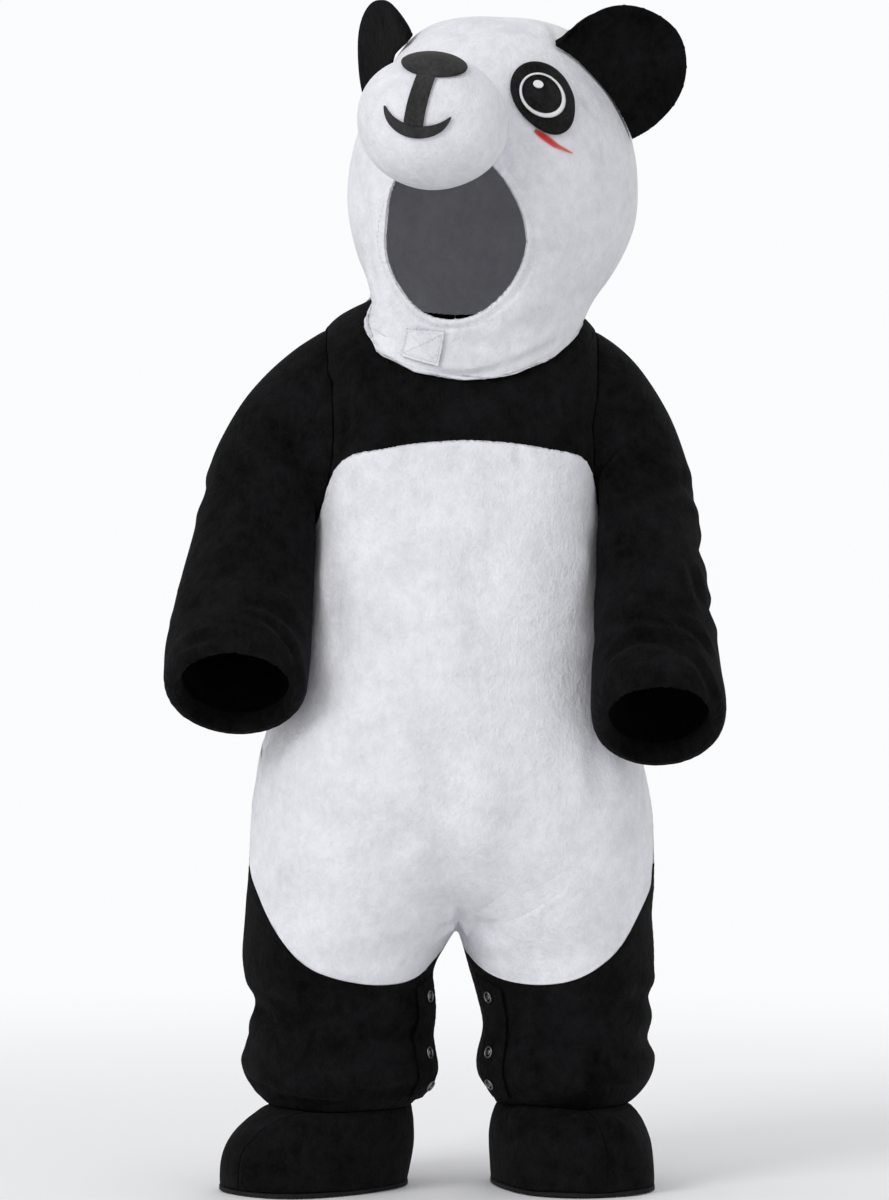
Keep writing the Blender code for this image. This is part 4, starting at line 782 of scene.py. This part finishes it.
# %% Channel and gathers
FACE_CENTRE = Vector((0.003, -0.08, 0.062))
CHANNEL = 5.2 * MM
CHANNEL_HIGH = 0.9  # mm by which the channel stands out and its seam sinks
PUCKER_HIGH = 0.45  # mm
AT_CUFF = ("sleeve_",)
AT_ANKLE = ("leg_front_", "leg_back_", "bootie_outer_", "bootie_inner_")
GATHERS = [  # pieces, side, centre of the ring mm, its axis, puckers, depth mm, reach mm
    (AT_CUFF, "left", (-138, -127, -248), (-0.05, -0.87, -0.5), 23, 1.5, 26),
    (AT_CUFF, "right", (131, -135, -266), (-0.02, -0.87, -0.5), 23, 1.5, 26),
    (AT_ANKLE, "left", (-84, -6, -506), (0, 0, 1), 31, 1.6, 15),
    (AT_ANKLE, "right", (77, 2, -506), (0, 0, 1), 31, 1.6, 15),
]


def uneven_wave(angle, count, seed):
    """A wave round a ring whose puckers differ in width and depth."""
    bent = angle + 0.35 * np.sin(2 * angle + seed) + 0.2 * np.sin(5 * angle + 2 * seed)
    high = 0.65 + 0.35 * np.sin(3 * angle + seed)
    return np.sin(count * bent) * high + 0.4 * np.sin(1.7 * count * angle + seed)


face_rim = [place for place in rims["cloth_hood_front"] if place.y < -0.045 and place.z > 0.002]
face_tree = tree_of(face_rim)
obj = shells["cloth_hood_front"][0]
points = points_of(obj)
edge_distance = np.array([face_tree.find(point)[2] for point in points])
away = points - np.array(FACE_CENTRE)
around = np.arctan2(away[:, 2], away[:, 0])
lift = CHANNEL_HIGH * bell(edge_distance / CHANNEL, 0.5, 0.32)
lift -= CHANNEL_HIGH * bell(edge_distance / CHANNEL, 1.15, 0.22)
lift += PUCKER_HIGH * uneven_wave(around, 37, 1.0) * bell(edge_distance, 0, 2.2 * CHANNEL)
forward = np.array([0.0, -1.0, 0.0])
set_points(obj, points + forward * (lift * MM)[:, None])
print("face rim points:", len(face_rim))

for seed, (pieces, side, centre, axis, puckers, depth, reach) in enumerate(GATHERS):
    centre, axis = np.array(centre) * MM, np.array(axis) / np.linalg.norm(axis)
    across = np.cross(axis, (0.3, 1.0, 0.1))
    across /= np.linalg.norm(across)
    upward = np.cross(axis, across)
    for piece in pieces:
        obj = shells["cloth_" + piece + side][0]
        points = points_of(obj)
        offset = points - centre
        along = offset @ axis
        out = offset - along[:, None] * axis
        radius = np.linalg.norm(out, axis=1)
        angle = np.arctan2(out @ upward, out @ across)
        fade = bell(along, 0, reach * MM)
        pucker = uneven_wave(angle, puckers, seed) * fade * depth * MM * 0.5
        set_points(obj, points + out / radius[:, None] * pucker[:, None])
print("gathered rings:", len(GATHERS))

# %% [markdown]
# ## Stitches, by Geometry Nodes
# Every stitch is one edge of a wire mesh, and one tree turns all of them into thread: each edge becomes a
# curve, the curve arches off the cloth, its ends taper into it, and a round profile is swept along it. The
# tree has named inputs for the thread's radius and arch, so that satin, topstitching and the cross on the
# tab use the same tree.

# %% The thread tree
def shape_tree(name, shape_in, sizes, finish, shape_out):
    """An empty tree that takes a mesh, two sizes and a finish, with the sockets of the last three."""
    tree = bpy.data.node_groups.new(name, "GeometryNodeTree")
    rows = [(shape_in, "Geometry"), (sizes[0], "Float"), (sizes[1], "Float"), (finish, "Material")]
    sockets = [
        tree.interface.new_socket(name=label, in_out="INPUT", socket_type="NodeSocket" + kind)
        for label, kind in rows
    ]
    tree.interface.new_socket(name=shape_out, in_out="OUTPUT", socket_type="NodeSocketGeometry")
    return tree, *sockets[1:]


thread_tree, radius_socket, arch_socket, finish_socket = shape_tree(
    "thread", "Stitches", ("Thread radius", "Arch height"), "Thread", "Threads"
)


def thread_node(kind, **values):
    node = thread_tree.nodes.new(kind)
    for name, value in values.items():
        setattr(node, name, value)
    return node


def join(source, target):
    thread_tree.links.new(source, target)


inputs = thread_node("NodeGroupInput")
outputs = thread_node("NodeGroupOutput")
to_curve = thread_node("GeometryNodeMeshToCurve")
resample = thread_node("GeometryNodeResampleCurve")
resample.inputs["Count"].default_value = 5
share = thread_node("GeometryNodeSplineParameter")
half_turn = thread_node("ShaderNodeMath", operation="MULTIPLY")
half_turn.inputs[1].default_value = math.pi
bow = thread_node("ShaderNodeMath", operation="SINE")
lift_by = thread_node("ShaderNodeMath", operation="MULTIPLY")
out_of_cloth = thread_node("GeometryNodeInputNamedAttribute", data_type="FLOAT_VECTOR")
out_of_cloth.inputs["Name"].default_value = "out"
lift_vector = thread_node("ShaderNodeVectorMath", operation="SCALE")
place = thread_node("GeometryNodeSetPosition")
taper = thread_node("ShaderNodeMapRange")
taper.inputs["To Min"].default_value = 0.45
thickness = thread_node("GeometryNodeSetCurveRadius")
profile = thread_node("GeometryNodeCurvePrimitiveCircle")
profile.inputs["Resolution"].default_value = 6
sweep = thread_node("GeometryNodeCurveToMesh")
sweep.inputs["Fill Caps"].default_value = True
smooth = thread_node("GeometryNodeSetShadeSmooth")
realize = thread_node("GeometryNodeRealizeInstances")
paint = thread_node("GeometryNodeSetMaterial")
join(inputs.outputs["Stitches"], to_curve.inputs["Mesh"])
join(to_curve.outputs["Curve"], resample.inputs["Curve"])
join(share.outputs["Factor"], half_turn.inputs[0])
join(half_turn.outputs[0], bow.inputs[0])
join(bow.outputs[0], lift_by.inputs[0])
join(inputs.outputs["Arch height"], lift_by.inputs[1])
join(out_of_cloth.outputs["Attribute"], lift_vector.inputs[0])
join(lift_by.outputs[0], lift_vector.inputs["Scale"])
join(resample.outputs["Curve"], place.inputs["Geometry"])
join(lift_vector.outputs[0], place.inputs["Offset"])
join(bow.outputs[0], taper.inputs["Value"])
join(place.outputs["Geometry"], thickness.inputs["Curve"])
join(taper.outputs["Result"], thickness.inputs["Radius"])
join(inputs.outputs["Thread radius"], profile.inputs["Radius"])
join(thickness.outputs["Curve"], sweep.inputs["Curve"])
join(profile.outputs["Curve"], sweep.inputs["Profile Curve"])
if "Scale" in sweep.inputs:
    join(taper.outputs["Result"], sweep.inputs["Scale"])
join(sweep.outputs["Mesh"], smooth.inputs["Geometry"])
join(smooth.outputs["Geometry"], realize.inputs["Geometry"])
join(realize.outputs["Geometry"], paint.inputs["Geometry"])
join(inputs.outputs["Thread"], paint.inputs["Material"])
join(paint.outputs["Geometry"], outputs.inputs["Threads"])
print("thread tree nodes:", len(thread_tree.nodes))


def threads(name, stitches, radius, arch, material):
    """One mesh of thread from (start, end, outward) stitches."""
    mesh = bpy.data.meshes.new(name)
    ends = [end for first, last, _ in stitches for end in (first, last)]
    mesh.from_pydata(ends, [(2 * index, 2 * index + 1) for index in range(len(stitches))], [])
    outward = mesh.attributes.new("out", "FLOAT_VECTOR", "POINT")
    outs = [out for _, _, out in stitches]
    outward.data.foreach_set("vector", np.repeat(outs, 2, axis=0).ravel())
    obj = bpy.data.objects.new(name, mesh)
    bpy.context.scene.collection.objects.link(obj)
    maker = obj.modifiers.new("thread", "NODES")
    maker.node_group = thread_tree
    maker[radius_socket.identifier] = radius * MM
    maker[arch_socket.identifier] = arch * MM
    maker[finish_socket.identifier] = material
    finished(obj)
    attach(obj, "root")
    print(name, len(stitches), "stitches,", len(obj.data.polygons), "faces")
    return obj


# %% [markdown]
# ## Where the stitches go
# Satin stitching covers the white ring of each eye with threads that run across it, and the small red bar
# under each eye. The tab is sewn down in a box with a cross. A row of running stitches holds the channel
# round the face. Each stitch is found by its pixels on the finished cloth, a little above it.

# %% Satin rings of the eyes
head_tree = search_tree(["cloth_hood_front", "cloth_hood_back", "cloth_chin_tab"])
RING_THREADS = 132
RING_HEAVY = np.array([0.55, 0.0, -0.83])  # where the ring is widest


def solid_axes(node):
    """Corners of a flat solid, their middle, its own axes, and the way it faces, which is to the front."""
    corners = np.array([vert.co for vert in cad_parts[node].data.vertices])
    middle, axes = own_axes(corners)
    return corners, middle, axes, axes[2] if axes[2][1] < 0 else -axes[2]


def ring_stitches(node):
    """Threads across the ring, from its inner to its outer edge."""
    corners, middle, axes, out = solid_axes(node)
    flat = (corners - middle) @ axes[:2].T
    height = (corners - middle) @ out
    angle, radius = np.arctan2(flat[:, 1], flat[:, 0]), np.hypot(flat[:, 0], flat[:, 1])
    made = []
    for turn in np.linspace(-math.pi, math.pi, RING_THREADS, endpoint=False):
        near = np.abs((angle - turn + math.pi) % (2 * math.pi) - math.pi) < 0.22
        inner, outer = radius[near].min(), radius[near].max()
        direction = math.cos(turn) * axes[0] + math.sin(turn) * axes[1]
        inner_top = height[near & (radius < inner + 0.5 * MM)].max()
        outer_top = height[near & (radius > outer - 0.5 * MM)].max()
        first = middle + direction * inner + out * (inner_top - 0.2 * MM)
        last = middle + direction * outer + out * (outer_top - 0.2 * MM)
        thick = 0.5 + 0.5 * direction @ RING_HEAVY / np.linalg.norm(RING_HEAVY)
        first += (last - first) * (0.42 - 0.62 * thick)
        last -= (last - first) * 0.12 * (1 - thick)
        made.append((Vector(first), Vector(last), Vector(out)))
    return made


for side in ("left", "right"):
    ring = threads("eye_ring_satin_" + side, ring_stitches("eye_ring_" + side), 0.42, 0.35, white_thread)
    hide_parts("eye_ring_" + side)

# %% Highlights, as small padded dots of thread
for side in ("left", "right"):
    glint = shell("eye_glint_" + side, "eye_glint_satin_" + side, white_thread, 2)
    del shells[glint.name]
    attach(glint, "root")
    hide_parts("eye_glint_" + side)

# %% Rows found by their pixels


def landed(tree, pixel, above=0.35, turn=0):
    """Where a sight lands on the cloth, moved a little out of it, and the outward direction."""
    start, ahead = sight(turn, *pixel)
    place, out, _, _ = tree.ray_cast(start, ahead)
    if place is None:
        return None, None
    out = out if out.dot(ahead) < 0 else -out
    return place + out * above * MM, out


def row(tree, path, length, gap):
    """Running stitches along a path of pixels: length and gap are in pixels."""
    made = []
    path = [np.array(pixel, float) for pixel in path]
    steps = [np.linalg.norm(after - before) for before, after in zip(path, path[1:])]
    marks = np.concatenate([[0], np.cumsum(steps)])
    for begin in np.arange(0, marks[-1] - length, length + gap):
        ends = [
            [np.interp(begin + share, marks, [pixel[axis] for pixel in path]) for axis in (0, 1)]
            for share in (0, length)
        ]
        (first, out), (last, _) = landed(tree, ends[0]), landed(tree, ends[1])
        if first is not None and last is not None and (first - last).length < 3 * length * PIXEL:
            made.append((first, last, out))
    return made


TAB_BOX = [(408, 330.5), (441.5, 334), (435.5, 362), (403, 353)]
tab_rows = [TAB_BOX + TAB_BOX[:1], [TAB_BOX[0], TAB_BOX[2]], [TAB_BOX[1], TAB_BOX[3]]]
tab_stitches = [stitch for path in tab_rows for stitch in row(head_tree, path, 2.6, 0.7)]
threads("tab_stitches", tab_stitches, 0.26, 0.2, white_thread)

CHANNEL_ROW = [
    (384, 204), (379, 222), (377, 240), (380, 258), (386, 276), (396, 292), (411, 306), (430, 318),
    (450, 325), (472, 325), (493, 319), (510, 307), (523, 292), (532, 274), (536, 254), (536, 236),
    (532, 220), (525, 205),
]
channel_stitches = row(head_tree, CHANNEL_ROW, 3.6, 1.6)
threads("channel_stitches", channel_stitches, 0.22, 0.15, white_thread)

# %% The red bar under each eye
RED_BAR = [(535, 131), (545, 138), (556, 146), (571, 153)]
RED_THREADS = 26
HEAD_CENTRE = Vector((26.5, 2.0, 104.0)) * MM
HEAD_TURN = Matrix.Rotation(math.radians(-15), 4, "Z") @ Matrix.Rotation(math.radians(4), 4, "Y")
OTHER_EYE = (
    Matrix.Translation(HEAD_CENTRE) @ HEAD_TURN @ Matrix.Scale(-1, 4, (1, 0, 0)) @ HEAD_TURN.inverted()
    @ Matrix.Translation(-HEAD_CENTRE)
)

bar = []
for share in np.linspace(0, 1, RED_THREADS):
    marks = np.linspace(0, 1, len(RED_BAR))
    x, y = (np.interp(share, marks, [pixel[axis] for pixel in RED_BAR]) for axis in (0, 1))
    half = 3.2 * math.sin(math.pi * min(1.0, share * 0.93 + 0.07)) ** 0.7 * (1.15 - 0.5 * share) + 0.5
    ends = [(x + sign * 0.62 * half, y - sign * 0.78 * half) for sign in (-1, 1)]
    (first, out), (last, _) = (landed(head_tree, end, 0.5) for end in ends)
    bar.append((first, last, out))
mirrored = [(OTHER_EYE @ first, OTHER_EYE @ last, OTHER_EYE.to_3x3() @ out) for first, last, out in bar]
threads("red_bar_right", bar, 0.42, 0.5, red_thread)
threads("red_bar_left", mirrored, 0.42, 0.5, red_thread)

# %% [markdown]
# ## Ring snaps
# Each snap is a thin metal ring pressed through the facing, with a low cap inside. One small tree puts a
# ring and a cap on every point of a wire mesh and turns them to face out of the cloth, which is how six of
# the same thing are best made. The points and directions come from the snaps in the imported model.

# %% The snap tree
snap_tree, ring_socket, wire_socket, metal_socket = shape_tree(
    "ring_snap", "Places", ("Ring radius", "Wire radius"), "Metal", "Snaps"
)
nodes, links = snap_tree.nodes, snap_tree.links
inputs, outputs = nodes.new("NodeGroupInput"), nodes.new("NodeGroupOutput")
ring_line = nodes.new("GeometryNodeCurvePrimitiveCircle")
ring_line.inputs["Resolution"].default_value = 28
wire = nodes.new("GeometryNodeCurvePrimitiveCircle")
wire.inputs["Resolution"].default_value = 10
ring_sweep = nodes.new("GeometryNodeCurveToMesh")
cap = nodes.new("GeometryNodeMeshUVSphere")
cap.inputs["Segments"].default_value, cap.inputs["Rings"].default_value = 20, 10
cap_size = nodes.new("ShaderNodeMath")
cap_size.operation = "MULTIPLY"
cap_size.inputs[1].default_value = 0.55
flatten = nodes.new("GeometryNodeTransform")
flatten.inputs["Scale"].default_value = (1.0, 1.0, 0.3)
together = nodes.new("GeometryNodeJoinGeometry")
soften = nodes.new("GeometryNodeSetShadeSmooth")
facing_out = nodes.new("GeometryNodeInputNamedAttribute")
facing_out.data_type = "FLOAT_VECTOR"
facing_out.inputs["Name"].default_value = "out"
turn_out = nodes.new("FunctionNodeAlignRotationToVector")
turn_out.axis = "Z"
copies = nodes.new("GeometryNodeInstanceOnPoints")
made_real = nodes.new("GeometryNodeRealizeInstances")
metal = nodes.new("GeometryNodeSetMaterial")
for source, target in [
    (inputs.outputs["Ring radius"], ring_line.inputs["Radius"]),
    (inputs.outputs["Wire radius"], wire.inputs["Radius"]),
    (ring_line.outputs["Curve"], ring_sweep.inputs["Curve"]),
    (wire.outputs["Curve"], ring_sweep.inputs["Profile Curve"]),
    (inputs.outputs["Ring radius"], cap_size.inputs[0]),
    (cap_size.outputs[0], cap.inputs["Radius"]),
    (cap.outputs["Mesh"], flatten.inputs["Geometry"]),
    (ring_sweep.outputs["Mesh"], together.inputs["Geometry"]),
    (flatten.outputs["Geometry"], together.inputs["Geometry"]),
    (together.outputs["Geometry"], soften.inputs["Geometry"]),
    (facing_out.outputs["Attribute"], turn_out.inputs["Vector"]),
    (inputs.outputs["Places"], copies.inputs["Points"]),
    (soften.outputs["Geometry"], copies.inputs["Instance"]),
    (turn_out.outputs["Rotation"], copies.inputs["Rotation"]),
    (copies.outputs["Instances"], made_real.inputs["Geometry"]),
    (made_real.outputs["Geometry"], metal.inputs["Geometry"]),
    (inputs.outputs["Metal"], metal.inputs["Material"]),
    (metal.outputs["Geometry"], outputs.inputs["Snaps"]),
]:
    links.new(source, target)
print("snap tree nodes:", len(nodes))

# %% Six snaps
SNAP_RING = 3.4
SNAP_WIRE = 0.55
SNAP_LIFT = 0.3  # all in mm

for side in ("left", "right"):
    names = [f"snap_{side}_{number}" for number in (1, 2, 3)]
    places = [(middle, out) for _, middle, _, out in map(solid_axes, names)]
    mesh = bpy.data.meshes.new("ring_snaps_" + side)
    mesh.from_pydata([middle + out * SNAP_LIFT * MM for middle, out in places], [], [])
    outward = mesh.attributes.new("out", "FLOAT_VECTOR", "POINT")
    outward.data.foreach_set("vector", np.ravel([out for _, out in places]))
    snaps = bpy.data.objects.new("ring_snaps_" + side, mesh)
    bpy.context.scene.collection.objects.link(snaps)
    maker = snaps.modifiers.new("snaps", "NODES")
    maker.node_group = snap_tree
    maker[ring_socket.identifier] = SNAP_RING * MM
    maker[wire_socket.identifier] = SNAP_WIRE * MM
    maker[metal_socket.identifier] = nickel
    finished(snaps)
    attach(snaps, "root")
    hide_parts(*names)
    print(snaps.name, len(snaps.data.polygons), "faces")

# %% [markdown]
# ## What each piece was cut from
# Every cloth piece has a row with how large it lay on the cutting table: the rectangle that holds it and its
# area, which gives the share of that rectangle that it fills, since a curved piece is never a rectangle. The
# muzzle and the ears are stuffed, so they are listed apart as padded, the muzzle tight and the ears soft.
# The rows are looked up, but nothing is declared from them: each shell is only fixed to the root body and
# its solid hidden.

# %% Cuts and bodies
CUTS = [  # solid, width mm, length mm, area cm2, how it is held
    ("front_body", 375, 350, 1100, "draped"),
    ("back_body_left", 200, 360, 608, "draped"),
    ("back_body_right", 200, 360, 604, "draped"),
    ("front_yoke", 190, 130, 152, "draped"),
    ("back_yoke_left", 120, 120, 120, "draped"),
    ("back_yoke_right", 120, 120, 110, "draped"),
    *pair("sleeve", 290, 290, 705, "gathered"),
    ("leg_front_left", 160, 150, 202, "gathered"),
    ("leg_front_right", 150, 150, 191, "gathered"),
    ("leg_back_left", 175, 150, 221, "gathered"),
    ("leg_back_right", 165, 150, 210, "gathered"),
    *pair("inseam_facing", 28, 85, 21, "laid"),
    ("bootie_outer_left", 95, 140, 112, "gathered"),
    ("bootie_inner_left", 90, 140, 104, "gathered"),
    ("bootie_outer_right", 95, 140, 108, "gathered"),
    ("bootie_inner_right", 90, 140, 104, "gathered"),
    *pair("sole", 104, 134, 118, "stretched"),
    ("hood_front", 260, 330, 710, "stretched"),
    ("hood_back", 245, 250, 515, "stretched"),
    ("chin_tab", 24, 27, 6.1, "laid"),
    *pair("eye_patch", 45, 54, 19, "laid"),
    ("nose", 32, 47, 11, "laid"),
    ("nose_line", 14, 36, 4.4, "laid"),
    ("mouth", 18, 45, 3.9, "laid"),
]
STUFFED = {"muzzle": 0.95, "ear_left": 0.5, "ear_right": 0.5}
cut_of = {node: cut for node, *cut in CUTS}
for name, (obj, node) in shells.items():
    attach(obj, "root")
    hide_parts(node)
    if node in STUFFED:
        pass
    else:
        width, length, area, held = cut_of[node]
print("declared:", len(CUTS), "cuts and", len(STUFFED), "stuffed pieces")
